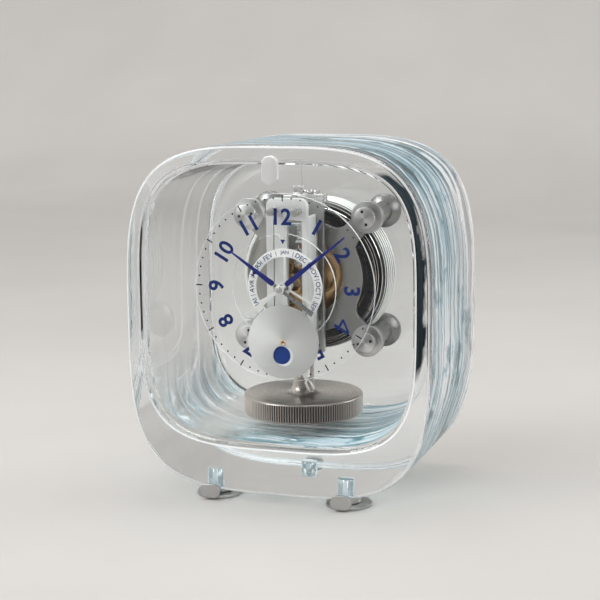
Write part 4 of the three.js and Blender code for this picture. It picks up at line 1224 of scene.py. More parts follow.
@dataclass
class Feet(Bench):
    """Foot brackets with their studs, and the round pads that level the clock."""

    plate_size: Point = (13.6, 9.2)
    plate_depth: float = 2.5
    plate_height: float = 0.2
    arm: Point = (8.4, 2.6)
    boss_radius: float = 8.0
    boss_tops: Point = (0.4, -0.4)
    stud_radii: Point = (5.3, 4.9)
    pad_thickness: float = 1.9
    pad_gap: float = 0.3
    pad_edge: float = 0.6
    screw_radius: float = 2.4

    def build(self) -> None:
        """Make one front foot, the lower rear one and a pad, and copy them to their places."""
        first = FootPlace.FRONT_LEFT
        tops = [Span.of(f"foot_{place.label}").high.z for place in (first, FootPlace.REAR)]
        brackets = {side: self._bracket(first, top, boss) for side, top, boss in zip((-1, 1), tops, self.boss_tops)}
        pad = self._pad(first)
        origin = Span.of(f"levelling_pad_{first.label}").middle
        metal = SATIN_STEEL.make(self.palette)
        for place in FootPlace:
            target = Span.of(f"levelling_pad_{place.label}").middle
            shift = Matrix.Translation((target - origin) * MM)
            if place.outward > 0:
                shift = spun(target, math.pi, "Z") @ shift
            foot = brackets[place.outward]
            for kind, source, body in (("foot", foot, "case"), ("levelling_pad", pad, f"pad_{place.label}")):
                node = f"{kind}_{place.label}"
                self.seat(self.copied(source, shift), f"{node}_steel", body, metal, "steel", (node,))
        for source in (*brackets.values(), pad):
            bpy.data.objects.remove(source)

    def _bracket(self, place: FootPlace, top: float, boss_top: float) -> Piece:
        """The lozenge plate, its arm, the boss under the crystal and the stud inside it.

        Args:
            place: the place that it is made at.
            top: height of the stud's top.
            boss_top: height of the boss above the crystal's underside.

        Returns:
            The bracket.
        """
        span, pad = Span.of(f"foot_{place.label}"), Span.of(f"levelling_pad_{place.label}")
        x, y, near = pad.middle.x, pad.middle.y, span.low.y
        low = pad.low.z + self.pad_thickness + self.pad_gap
        outline = slot_outline((x, up(self.plate_height)), *self.plate_size)
        plate = self.plate([outline], near, near + self.plate_depth, 0.5, 4)
        half = self.arm[0] / 2
        arm = self.block((x - half, near + 1.2, low), (x + half, y, low + self.arm[1]), 0.4)
        r = self.boss_radius
        boss = self.turned([(r - 0.4, low), (r, low + 0.4), (r, up(boss_top))], (x, y), 64, axis=Axis.Z)
        wide, slim = self.stud_radii
        stud = [(wide, up(boss_top) - 0.5), (slim, top - 0.7), (slim - 0.25, top - 0.2), (slim - 0.7, top)]
        pin = self.turned(stud, (x, y), 64, axis=Axis.Z)
        pin.data.materials.append(STUD.make(self.palette))
        for part in (plate, arm, boss):
            part.data.materials.append(SATIN_STEEL.make(self.palette))
        return self.gather([plate, arm, boss, pin])

    def _pad(self, place: FootPlace) -> Piece:
        """The round pad with chamfered edges, and its screw."""
        span = Span.of(f"levelling_pad_{place.label}")
        r, edge, low = span.size.x / 2, self.pad_edge, span.low.z
        top = low + self.pad_thickness
        profile = [(r - edge, low), (r - edge / 4, low + edge / 4), (r, low + edge), (r, top - edge),
                   (r - edge / 4, top - edge / 4), (r - edge, top), (self.screw_radius, top),
                   (self.screw_radius, span.high.z)]
        return self.turned(profile, (span.middle.x, span.middle.y), 128, axis=Axis.Z)


@dataclass
class Posts(Bench):
    """Four posts through the cavity: cap with pin holes in front, flange behind, screw through the wall."""

    radius: float = 6.2
    flange: float = 11.2
    flange_depth: float = 5.2
    cone: float = 1.6
    cap_radius: float = 6.9
    cap_height: float = 6.0
    cap_flange: Point = (10.4, 1.4)
    shank: Point = (3.4, 8.0)
    hole: Point = (1.0, 4.3)
    hole_depth: float = 2.0
    head: Point = (6.6, 2.2)
    socket: Point = (2.4, 1.1)
    edge: float = 0.5

    def build(self) -> None:
        """Make the top left post and copy it to the other corners, turning the pin holes."""
        first = Corner.TOP_LEFT
        sources = {"post": self._post(first), "post_cap": self._cap(first), "post_screw": self._screw(first)}
        origin = Span.of(f"post_{first.label}").middle
        # A painted highlight for the caps' rounded face edges and painted shade for their side walls.
        edges = BRIGHT_RIB.make(self.palette), CAP_SIDE_SHADE.make(self.palette)
        for corner in Corner:
            target = Span.of(f"post_{corner.label}").middle
            grain = Grain(centre=(target.x, 0, target.z), pitch=2600)
            metal = CAP_STEEL.make(self.palette, grain, f"_{corner.label}")
            dark = POST_STEEL.make(self.palette, grain, f"_{corner.label}")
            shift = Matrix.Translation((target - origin) * MM)
            for kind, source in sources.items():
                cap, node = kind == "post_cap", f"{kind}_{corner.label}"
                turn = spun(target, math.radians(-corner.pin_turn), "Y") if cap else Matrix.Identity(4)
                piece = self.copied(source, turn @ shift)
                for finish in (metal, *edges) if cap else ():
                    piece.data.materials.append(finish)
                self.seat(piece, f"{node}_steel", "case", dark if kind == "post" else metal, "steel", (node,))
            self._pits(corner, target)
        for source in sources.values():
            bpy.data.objects.remove(source)

    def _pits(self, corner: Corner, target: Vector) -> None:
        """The shadow inside a cap's two pin holes.

        Args:
            corner: the post.
            target: its middle.
        """
        near, r = Span.of(f"post_cap_{corner.label}").low.y, self.hole[0]
        parts = []
        for way in (0, 180):
            hole = [(target.x + self.hole[1], target.z)]
            spot = turned_about(hole, (target.x, target.z), way - corner.pin_turn)[0]
            parts.append(self.turned([(r, near + 0.15), (r, near + 1.9)], spot, 24))
        shade = SHADE.make(self.palette)
        self.seat(self.gather(parts), f"pin_hole_shade_{corner.label}", "case", shade, "steel")

    def _post(self, corner: Corner) -> Piece:
        """The shaft with its conical flange."""
        span = Span.of(f"post_{corner.label}")
        near, far, r, wide, cone = span.low.y, span.high.y, self.radius, self.flange, self.cone
        face = far - self.flange_depth
        profile = [(r - 0.3, near), (r, near + 0.3), (r, face - cone - 1), (r + 0.35, face - cone),
                   (wide - cone, face), (wide - 0.3, face + cone - 0.3), (wide, face + cone), (wide, far - 0.4),
                   (wide - 0.4, far)]
        return self.turned(profile, span.spot, 96)

    def _cap(self, corner: Corner) -> Piece:
        """The cap with a rounded face edge, its flange and the two pin holes."""
        span = Span.of(f"post_cap_{corner.label}")
        (x, z), near = span.spot, span.low.y
        r, wide, edge, step = self.cap_radius, self.cap_flange[0], self.edge, near + self.cap_height
        profile = [(r - edge, near), (r - edge * 0.3, near + edge * 0.3), (r, near + edge), (r, step),
                   (wide - 0.35, step), (wide, step + 0.35), (wide, step + self.cap_flange[1]),
                   (self.shank[0], step + self.cap_flange[1]), (self.shank[0], step + self.shank[1])]
        cap = self.turned(profile, (x, z), 128)
        for way in (-1, 1):
            hole = [(self.hole[0], near - 1), (self.hole[0], near + self.hole_depth)]
            self.drill(cap, self.turned(hole, (x + way * self.hole[1], z), 24))
        for _ in range(3):
            cap.data.materials.append(None)
        # Rounded face edge: painted highlight; side wall: painted shade.
        for side in cap.data.polygons:
            reach = math.hypot(side.center.x - x * MM, side.center.z - z * MM) / MM
            if 0.3 < -side.normal.y < 0.95 and reach > r - 1:
                side.material_index = 1
            elif abs(side.normal.y) < 0.1 and r - 1 < reach < r + 1:
                side.material_index = 2
        cap.data.materials.clear()
        return cap

    def _screw(self, corner: Corner) -> Piece:
        """The rear screw with a six-sided socket."""
        span = Span.of(f"post_screw_{corner.label}")
        (x, z), far = span.spot, span.high.y
        r = self.head[0]
        profile = [(3.2, span.low.y), (3.2, far - self.head[1]), (r, far - self.head[1]), (r, far - 0.6),
                   (r - 0.2, far - 0.2), (r - 0.6, far)]
        screw = self.turned(profile, (x, z), 96)
        socket = [(self.socket[0], far - self.socket[1]), (self.socket[0], far + 1)]
        self.drill(screw, self.turned(socket, (x, z), 6))
        return screw


@dataclass
class FramePlate(Bench):
    """The carrier: a round centre with four arms that flow by fillets into ears on the posts."""

    disc: float = 37.0
    arm: float = 13.0
    fillet: float = 9.0
    ear: float = 10.4
    hole: float = 24.0
    ear_hole: float = 3.7
    edge: float = 0.4

    def build(self) -> None:
        """Cut the plate."""
        span = Span.of("frame_plate")
        middle = (0.0, span.middle.z)
        ears = [Span.of(f"post_cap_{corner.label}").middle for corner in Corner]
        ears.sort(key=lambda p: math.atan2(p.z - middle[1], p.x))
        outline = [point for ear in ears for point in self._arm(middle, (ear.x, ear.z))]
        holes = [ring_points(middle, self.hole)]
        holes += [ring_points((ear.x, ear.z), self.ear_hole, 32) for ear in ears]
        plate = self.plate([outline, *holes], span.low.y, span.high.y, self.edge, 3)
        steel = FRAME_STEEL.make(self.palette, Grain(centre=(0, 0, middle[1]), pitch=1800))
        self.seat(plate, "frame_plate_steel", "case", steel, "steel", ("frame_plate",))

    def _arm(self, middle: Point, ear: Point) -> Profile:
        """The outline of one arm, from the disc round its ear and back.

        Args:
            middle: the disc's centre.
            ear: the ear's centre.

        Returns:
            Its points, anticlockwise.
        """
        reach = math.dist(middle, ear)
        turn = math.atan2(ear[1] - middle[1], ear[0] - middle[0])
        across = self.arm / 2 + self.fillet
        along = math.sqrt((self.disc + self.fillet) ** 2 - across ** 2)
        tangent = math.degrees(math.atan2(across, along))
        opening = math.degrees(math.asin(self.arm / 2 / self.ear))
        flat = (arc((along, -across), self.fillet, 180 - tangent, 90, 10)
                + arc((reach, 0), self.ear, opening - 180, 180 - opening, 40)
                + arc((along, across), self.fillet, 270, 180 + tangent, 10)
                + arc((0, 0), self.disc, tangent + 2, 90 - tangent - 2, 16))
        c, s = math.cos(turn), math.sin(turn)
        return [(middle[0] + x * c - z * s, middle[1] + x * s + z * c) for x, z in flat]


# Movement


@dataclass
class Cage(Bench):
    """The movement's cage: front plate with bars, cheeks, jewelled bridge and rear plate."""

    half: float = 13.4
    crown: float = 5.0
    head: float = 13.5
    base: float = 13.0
    bars: tuple[float, float, float] = (-8.7, -8.1, 0.2)
    right_bar: float = 9.9
    pillar: Point = (1.9, 4.0)
    window: Point = (15.0, 30.0)
    wall: float = 2.0
    behind_wire: float = 2.7
    rear_depth: float = 3.5
    spacer: float = 4.0
    spacer_reach: float = 30.5
    jewels: tuple[str, ...] = ("third_wheel", "escape_wheel", "pallet_lever", "mainspring_barrel")

    def build(self) -> None:
        """Make the four plates and what is set in them."""
        palette = self.palette
        silver = SATIN_SILVER.make(palette, Grain(circular=False, pitch=2200), "_upright")
        steel = SATIN_STEEL.make(palette, Grain(circular=False, pitch=2200), "_upright")
        self.seat(self._front(), "front_plate_silver", "case", silver, "silver", ("front_plate",))
        for side, sign in (("cheek_left", -1), ("cheek_right", 1)):
            self.seat(self._cheek(side, sign), f"{side}_silver", "case", silver, "silver", (side,))
        self.seat(self._bridge(), "train_bridge_steel", "case", steel, "steel", ("train_bridge",))
        self.seat(self._rear(), "rear_plate_steel", "case", steel, "steel", ("rear_plate",))
        self._set_jewels()

    def _front(self) -> Piece:
        """The front plate: rounded crown, a slit beside the left bar and the window to the spring."""
        span = Span.of("front_plate")
        low, high, w, r = span.low.z, span.high.z, self.half, self.crown
        outline = ([(-w, low), (w, low)] + arc((w - r, high - r), r, 0, 90, 10)
                   + arc((r - w, high - r), r, 90, 180, 10))
        top, bottom = high - self.head, low + self.base
        near, far, gap = self.bars
        slit = [(near, bottom), (far, bottom), (far, top), (near, top)]
        wide = self._rounded((gap, bottom), (self.right_bar, top), 0.8)
        holes = [slit, wide, ring_points((0, dial_height()), 2.4, 32)]
        return self.plate([outline, *holes], span.low.y, span.high.y, 0.3, 2)

    @staticmethod
    def _rounded(low: Point, high: Point, r: float) -> Profile:
        """A rectangle with round corners."""
        return (arc((high[0] - r, low[1] + r), r, -90, 0, 6) + arc((high[0] - r, high[1] - r), r, 0, 90, 6)
                + arc((low[0] + r, high[1] - r), r, 90, 180, 6) + arc((low[0] + r, low[1] + r), r, 180, 270, 6))

    def _cheek(self, side: str, sign: int) -> Piece:
        """One side cheek, the right one with the two ledges that hold the return spring."""
        span, coil = Span.of(side), Span.of("return_spring")
        x = (sign * self.half - self.wall * sign, sign * self.half)
        cheek = self.block((min(x), span.low.y, span.low.z), (max(x), span.high.y, span.high.z), 0.3)
        if sign < 0:
            return cheek
        ledges = []
        for low in (coil.low.z - 1.4, coil.high.z + 0.25):
            y = coil.middle.y
            ledges.append(self.block((span.low.x, y - 2, low), (max(x) - 1, y + 2, low + 1.1), 0.15))
        return self.gather([cheek, *ledges])

    def _bridge(self) -> Piece:
        """The bridge behind the train."""
        span = Span.of("train_bridge")
        outline = self._rounded((-self.half, span.low.z), (self.half, span.high.z), 2.5)
        return self.plate([outline], span.low.y, span.high.y, 0.35, 2)

    def _rear(self) -> Piece:
        """The rear plate with its window, its pillars forward and its spacers back to the frame."""
        span, frame_span, bridge = Span.of("rear_plate"), Span.of("frame_plate"), Span.of("train_bridge")
        near = Span.of("wire_clamp").middle.y + self.behind_wire
        middle = frame_span.middle.z
        w, h = self.window[0] / 2, self.window[1] / 2
        outline = self._rounded((-self.half, span.low.z), (self.half, span.high.z), 2.0)
        window = self._rounded((-w, middle - h), (w, middle + h), 2.0)
        parts = [self.plate([outline, window], near, near + self.rear_depth, 0.35, 2)]
        for way in (-1, 1):
            spot = (0, middle + way * self.spacer_reach)
            spacer = [(self.spacer, near + 3.3), (self.spacer, span.high.y)]
            parts.append(self.turned(spacer, spot, 48))
            r, inset = self.pillar
            for z in (bridge.low.z + inset, bridge.high.z - inset):
                profile = [(r, span.low.y), (r, near + 0.2)]
                parts.append(self.turned(profile, (way * (self.half - inset), z), 32))
        return self.gather(parts)

    def _set_jewels(self) -> None:
        """Ruby bearings in gilt settings on the bridge's front."""
        face = Span.of("train_bridge").low.y
        ruby, gilt = RUBY.make(self.palette), GILT.make(self.palette)
        for node in self.jewels:
            spot = Span.of(node).spot
            ring = [(2.1, face - 0.02), (2.1, face - 0.14), (1.5, face - 0.14), (1.2, face - 0.02)]
            setting = self.turned(ring, spot, 32, ring=True)
            self.seat(setting, f"jewel_setting_{node}", "case", gilt, "brass")
            dome = [(1.2, face - 0.02), (1.2, face - 0.1), (0.95, face - 0.13), (0.75, face - 0.02)]
            stone = self.turned(dome, spot, 32, ring=True)
            self.seat(stone, f"jewel_stone_{node}", "case", ruby, "jewel")


@dataclass
class Train(Bench):
    """The going train: toothed wheels with crossings, pallet lever, barrel and the return spring."""

    thickness: float = 1.1
    tooth: float = 0.75
    rim: float = 1.2
    hub: float = 1.9
    spoke: float = 0.9
    arbor: float = 0.7
    wire: float = 0.22
    coils: int = 12
    centre: tuple[float, int] = (7.6, 30)
    wheels: tuple[tuple[str, float, int, float, float, float], ...] = (
        ("third", 5.6, 24, 36.6, 3.8, 33.2), ("escape", 4.9, 15, 38.8, 2.8, 36.6),
    )
    pallet_plane: float = 38.8
    barrel_plane: float = 35.6

    def build(self) -> None:
        """Make every piece of the train."""
        span = Span.of("centre_wheel")
        centre = (0.0, span.middle.z)
        steel = POLISHED.make(self.palette)
        self._wheel("centre_wheel", "minute", centre, *self.centre, span.low.y)
        pipe = [(1.6, span.low.y + 1), (2.2, span.low.y + 1), (2.2, span.high.y), (1.6, span.high.y)]
        pinion = self.turned(pipe, centre, 32, ring=True)
        self.seat(pinion, "centre_pinion_steel", "minute", steel, "steel")
        for body, radius, teeth, plane, pinion_radius, pinion_plane in self.wheels:
            node = f"{body}_wheel"
            span = Span.of(node)
            spot, low = span.spot, deep(pinion_plane)
            self._wheel(node, body, spot, radius, teeth, deep(plane), wolf=body == "escape")
            leaves = self._toothed(spot, pinion_radius, 10, 0.9, 0.35)
            parts = [self.plate([leaves], low, low + 1.1, 0.05, 1), self._arbor(span, spot)]
            self.seat(self.gather(parts), f"{node}_arbor_steel", body, steel, "steel")
        self._pallet(steel)
        self._barrel(steel)
        self._spring(steel)

    def _arbor(self, span: Span, spot: Point) -> Piece:
        """A plain arbor as long as its node, with a pivot in front."""
        profile = [(0.35, span.low.y), (self.arbor, span.low.y + 0.6), (self.arbor, span.high.y)]
        return self.turned(profile, spot, 24)

    @staticmethod
    def _toothed(centre: Point, radius: float, count: int, depth: float, land: float, lean: float = 0.0) -> Profile:
        """A toothed outline.

        Args:
            centre: the wheel's centre.
            radius: radius over the teeth.
            count: number of teeth.
            depth: depth of a tooth.
            land: share of a pitch that a tooth's top takes.
            lean: share of a pitch that the tops lean forward.

        Returns:
            The outline.
        """
        points = []
        for i in range(count):
            for share, reach in ((0.0, radius - depth), (0.5 - land / 2 + lean, radius),
                                 (0.5 + land / 2 + lean, radius), (1.0 - 0.12, radius - depth)):
                angle = 2 * math.pi * (i + share) / count
                points.append((centre[0] + reach * math.cos(angle), centre[1] + reach * math.sin(angle)))
        return points

    def _wheel(self, node: str, body: str, spot: Point, radius: float, teeth: int, plane: float,
               wolf: bool = False) -> None:
        """A thin gilt wheel with four crossings.

        Args:
            node: the CAD node that it stands for.
            body: the body that turns with it.
            spot: its centre.
            radius: radius over the teeth.
            teeth: number of teeth.
            plane: depth of its front.
            wolf: True for leaning pointed teeth.
        """
        depth, land, lean = (1.3, 0.08, 0.3) if wolf else (self.tooth, 0.3, 0)
        outline = self._toothed(spot, radius, teeth, depth, land, lean)
        holes = crossings(spot, (radius - depth - self.rim, self.hub), self.spoke, 4, 0, (12, 6))
        wheel = self.plate([outline, *holes], plane, plane + self.thickness, 0.06, 1)
        gilt = GILT.make(self.palette, Grain(centre=(spot[0], 0, spot[1]), pitch=3000), f"_{node}")
        self.seat(wheel, f"{node}_gilt", body, gilt, "brass", (node,))

    def _pallet(self, steel: bpy.types.Material) -> None:
        """The pallet lever: a bowed anchor and its fork."""
        span = Span.of("pallet_lever")
        x, z = span.middle.x, span.high.z - 3.0
        near = deep(self.pallet_plane)
        bow = (arc((x, z - 4.2), 4.8, 138, 42, 14) + arc((x, z - 4.2), 3.7, 42, 138, 14))
        fork = [(x - 0.45, z), (x + 0.45, z), (x + 0.3, z + 2.95), (x - 0.3, z + 2.95)]
        parts = [self.plate([bow], near, near + 1.2, 0.08, 1),
                 self.plate([fork], near, near + 1.2, 0.08, 1), self._arbor(span, (x, z))]
        lever = self.gather(parts)
        self.seat(lever, "pallet_lever_steel", "pallet", steel, "steel", ("pallet_lever",))

    def _barrel(self, steel: bpy.types.Material) -> None:
        """The mainspring barrel: domed lid, toothed back edge and its arbor."""
        span = Span.of("mainspring_barrel")
        spot = span.spot
        near = deep(self.barrel_plane)
        profile = [(1.2, near + 0.5), (2.4, near + 0.5), (2.4, near + 0.15), (6.6, near), (7.4, near + 0.35),
                   (7.7, near + 1.1), (7.7, near + 5.0), (1.2, near + 5.0)]
        drum = self.turned(profile, spot, 96, ring=True)
        far, r = near + 6.35, self.arbor
        edge = self.plate([self._toothed(spot, 8.55, 60, 0.6, 0.3)], near + 5.0, far, 0.05, 1)
        gilt = GILT.make(self.palette, Grain(centre=(spot[0], 0, spot[1]), pitch=3000), "_barrel")
        barrel = self.gather([drum, edge])
        self.seat(barrel, "mainspring_barrel_gilt", "barrel", gilt, "brass", ("mainspring_barrel",))
        profile = [(0.35, span.low.y), (r, span.low.y + 0.6), (r, near), (1.1, near), (1.1, far), (r, far),
                   (r, span.high.y)]
        arbor = self.turned(profile, spot, 24)
        self.seat(arbor, "barrel_arbor_steel", "barrel", steel, "steel")

    def _spring(self, steel: bpy.types.Material) -> None:
        """The return spring: a wire section screwed round its axis."""
        span = Span.of("return_spring")
        x, y = span.middle.x, span.middle.y
        radius = span.size.x / 2 - self.wire
        low, high = span.low.z + self.wire + 0.3, span.high.z - self.wire - 0.3
        self.clear()
        start = (x * MM, y * MM, low * MM)
        bpy.ops.mesh.primitive_circle_add(vertices=10, radius=self.wire * MM, location=start)
        coil = bpy.context.object
        self.enter()
        bpy.ops.transform.rotate(value=math.pi / 2, orient_axis="X", center_override=start)
        bpy.ops.transform.translate(value=(radius * MM, 0, 0))
        bpy.ops.object.mode_set(mode="OBJECT")
        self.modify(coil, "SCREW", axis="Z", iterations=self.coils, screw_offset=(high - low) / self.coils * MM,
                    steps=24, render_steps=24, use_merge_vertices=False)
        bpy.ops.object.mode_set(mode="EDIT")
        bpy.ops.mesh.select_all(action="DESELECT")
        bpy.ops.mesh.select_non_manifold()
        bpy.ops.mesh.edge_face_add()
        self.leave()
        self.seat(coil, "return_spring_steel", "case", steel, "polished", ("return_spring",), smooth=60)


# Face of the clock


class Numeral(Enum):
    """The dial's numerals by the hour that they stand at; the moon dial covers the sixth."""

    ONE = 1
    TWO = 2
    THREE = 3
    FOUR = 4
    FIVE = 5
    SEVEN = 7
    EIGHT = 8
    NINE = 9
    TEN = 10
    ELEVEN = 11
    TWELVE = 12


@dataclass
class Dial(Bench):
    """The clear dial ring with its numerals, ticks, index tongue and screws."""

    radius: float = DIAL_RADIUS
    hole: float = 33.8
    notch: float = 18.6
    numeral_radius: float = 44.6
    numeral_height: float = 10.4
    tick: Point = (0.75, 4.2)
    tick_radius: float = 56.2
    dot: float = 0.55
    marker: Point = (3.2, 2.8)
    marker_top: float = 30.4
    swell: float = 4.6
    edge: float = 0.3

    def build(self) -> None:
        """Make the ring and everything on it."""
        span = Span.of("dial_ring")
        self.middle = (0.0, dial_height())
        self.moon = Span.of("moon_dial").middle.z
        self.front = span.low.y
        palette = self.palette
        outlines = [ring_points(self.middle, self.radius, 192), self._inner()]
        ring = self.plate(outlines, span.low.y, span.high.y, self.edge, 3)
        crystal = DIAL_CRYSTAL.make(palette)
        for finish in (crystal, DIAL_RIM_HIGHLIGHT.make(palette)):
            ring.data.materials.append(finish)
        # The ring's edge faces take the painted highlight.
        for face in ring.data.polygons:
            face.material_index = int(abs(face.normal.y) <= 0.9)
        self.seat(ring, "dial_ring_crystal", "case", crystal, "crystal", ("dial_ring",))
        ink = INK.make(palette)
        for numeral in Numeral:
            turn = 30.0 * numeral.value
            if numeral is Numeral.FOUR:
                piece = self._four(turn)
            else:
                spot = self._spot(turn, self.numeral_radius)
                piece = self.lettering(str(numeral.value), self.numeral_height, spot, turn,
                                       self.front - INK_GAP, INK_DEPTH, 0.026)
            self.seat(piece, f"numeral_{numeral.name.lower()}_ink", "case", ink, "blued")
        self.seat(self._track(), "minute_track_ink", "case", TRACK_INK.make(palette), "blued")
        self.seat(self._marker(), "index_marker_ink", "case", ink, "blued")
        self._screws()

    def _four(self, turn: float) -> Piece:
        """The numeral 4, drawn by hand so that its counter stays open.

        Args:
            turn: its clockwise turn from twelve.

        Returns:
            The object.
        """
        size, (x, z) = self.numeral_height, (self.middle[0], self.middle[1] + self.numeral_radius)
        strokes = [[(0.47, 1), (0.67, 1), (0.67, 0.385), (0.8, 0.385), (0.8, 0.235), (0.67, 0.235), (0.67, 0),
                    (0.5, 0), (0.5, 0.235), (0, 0.235), (0, 0.36)], [(0.17, 0.385), (0.5, 0.385), (0.5, 0.83)]]
        shapes = [turned_about([(x + (u - 0.4) * size, z + (v - 0.5) * size) for u, v in stroke], self.middle, turn)
                  for stroke in strokes]
        return self._inlay(shapes)

    def _inlay(self, shapes: list[Profile]) -> Piece:
        """Ink of some outline on the ring's front."""
        far = self.front - INK_GAP
        return self.plate(shapes, far - INK_DEPTH, far, 0.01, 0)

    def _spot(self, turn: float, radius: float) -> Point:
        """A place on the dial at a clockwise turn from twelve."""
        return turned_about([(self.middle[0], self.middle[1] + radius)], self.middle, turn)[0]

    def _inner(self) -> Profile:
        """The inner edge: the hole, the index tongue at twelve and the notch round the moon dial."""
        x0, z0 = self.middle
        apart = z0 - self.moon
        below = (self.hole ** 2 - self.notch ** 2 + apart ** 2) / (2 * apart)
        side = math.sqrt(self.hole ** 2 - below ** 2)
        meet = math.degrees(math.atan2(side, below))
        lean = math.degrees(math.asin(self.swell / self.hole))
        meet_moon = math.degrees(math.atan2(apart - below, side))
        rim, top, half = z0 + self.hole, z0 + self.marker_top, self.marker[0] / 2 + 0.25
        tip = top - self.marker[1] - 0.35
        bend = []
        for i in range(9):
            t = i / 8
            x = (1 - t) ** 2 * self.swell + 2 * t * (1 - t) * half + t ** 2 * half
            z = (1 - t) ** 2 * (rim - 0.3) + 2 * t * (1 - t) * (rim - 0.4) + t ** 2 * top
            bend.append((x, z))
        tongue = bend + [(0.15, tip), (-0.15, tip)] + [(-x, z) for x, z in reversed(bend)]
        return (arc(self.middle, self.hole, meet - 90, 90 - lean, 60) + tongue
                + arc(self.middle, self.hole, 90 + lean, 270 - meet, 60)
                + arc((x0, self.moon), self.notch, 180 - meet_moon, 360 + meet_moon, 48))

    def _track(self) -> Piece:
        """Hour ticks with dots between, left off where the moon dial covers them."""
        parts = []
        reach = Span.of("moon_dial").size.x / 2 + 0.8
        for minute in range(60):
            turn = 6.0 * minute
            x, z = self._spot(turn, self.tick_radius)
            if math.dist((x, z), (0, self.moon)) < reach:
                continue
            if minute % 5:
                shape = ring_points((x, z), self.dot, 16)
            else:
                w, h = self.tick[0] / 2, self.tick[1] / 2
                box = [(x - w, z - h), (x + w, z - h), (x + w, z + h), (x - w, z + h)]
                shape = turned_about(box, (x, z), turn)
            parts.append(self._inlay([shape]))
        return self.gather(parts)

    def _marker(self) -> Piece:
        """The small triangle that points at the month ring."""
        w, h = self.marker[0] / 2, self.marker[1]
        top = self.middle[1] + self.marker_top
        return self._inlay([[(-w, top), (0, top - h), (w, top)]])

    def _screws(self) -> None:
        """The two slotted screws above, and the shouldered studs that hold the dial off the cage."""
        steel = SATIN_STEEL.make(self.palette)
        for corner in Corner:
            node = f"dial_screw_{corner.label}"
            span = Span.of(node)
            (x, z), near, far = span.spot, span.low.y, span.high.y
            above, head, back = corner.label.startswith("top"), self.front - 0.3, self.front + 2.1
            profile = [(1.4, near)]
            if above:
                profile = [(2.2, near), (2.5, near + 0.12), (2.6, near + 0.35), (2.6, head), (1.4, head)]
            profile += [(1.4, back), (2.4, back), (2.4, far - 2.0), (1.4, far - 2.0), (1.4, far)]
            screw = self.turned(profile, (x, z), 48)
            if above:
                slot = self.block((x - 3, near - 1, z - 0.28), (x + 3, near + 0.4, z + 0.28), 0)
                self.drill(screw, slot)
            self.seat(screw, f"{node}_steel", "case", steel, "polished", (node,))


@dataclass
class MonthRing(Bench):
    """The ring of months on three spokes, which turns once a year."""

    radius: float = 24.5
    hole: float = 19.1
    hub: float = 4.2
    bore: float = 2.5
    spoke: float = 1.3
    letter_height: float = 3.0
    letter_radius: float = 21.8
    months: tuple[str, ...] = ("JAN", "DEC", "NOV", "OCT", "SEP", "AUG", "JUIL", "JUIN", "MAI", "AVR", "MARS",
                               "FEV")

    def build(self) -> None:
        """Cut the ring and letter it."""
        span = Span.of("month_ring")
        middle = (0.0, span.middle.z)
        holes = [ring_points(middle, self.bore, 32),
                 *crossings(middle, (self.hole, self.hub), self.spoke, 3, 90, (36, 12))]
        ring = self.plate([ring_points(middle, self.radius, 128), *holes], span.low.y, span.high.y, 0.15, 2)
        silver = PALE_SATIN.make(self.palette, Grain(centre=(0, 0, middle[1]), pitch=2400), "_month")
        self.seat(ring, "month_ring_silver", "month", silver, "silver", ("month_ring",))
        parts = []
        for i, month in enumerate(self.months):
            for turn, text, share in ((30.0 * i, month, 1), (30.0 * i + 15, "|", 1.1)):
                spot = turned_about([(0, middle[1] + self.letter_radius)], middle, turn)[0]
                parts.append(self.lettering(text, self.letter_height * share, spot, turn, span.low.y - 0.01, 0.05,
                                            0.004))
        ink = INK.make(self.palette)
        self.seat(self.gather(parts), "month_letters_ink", "month", ink, "blued")


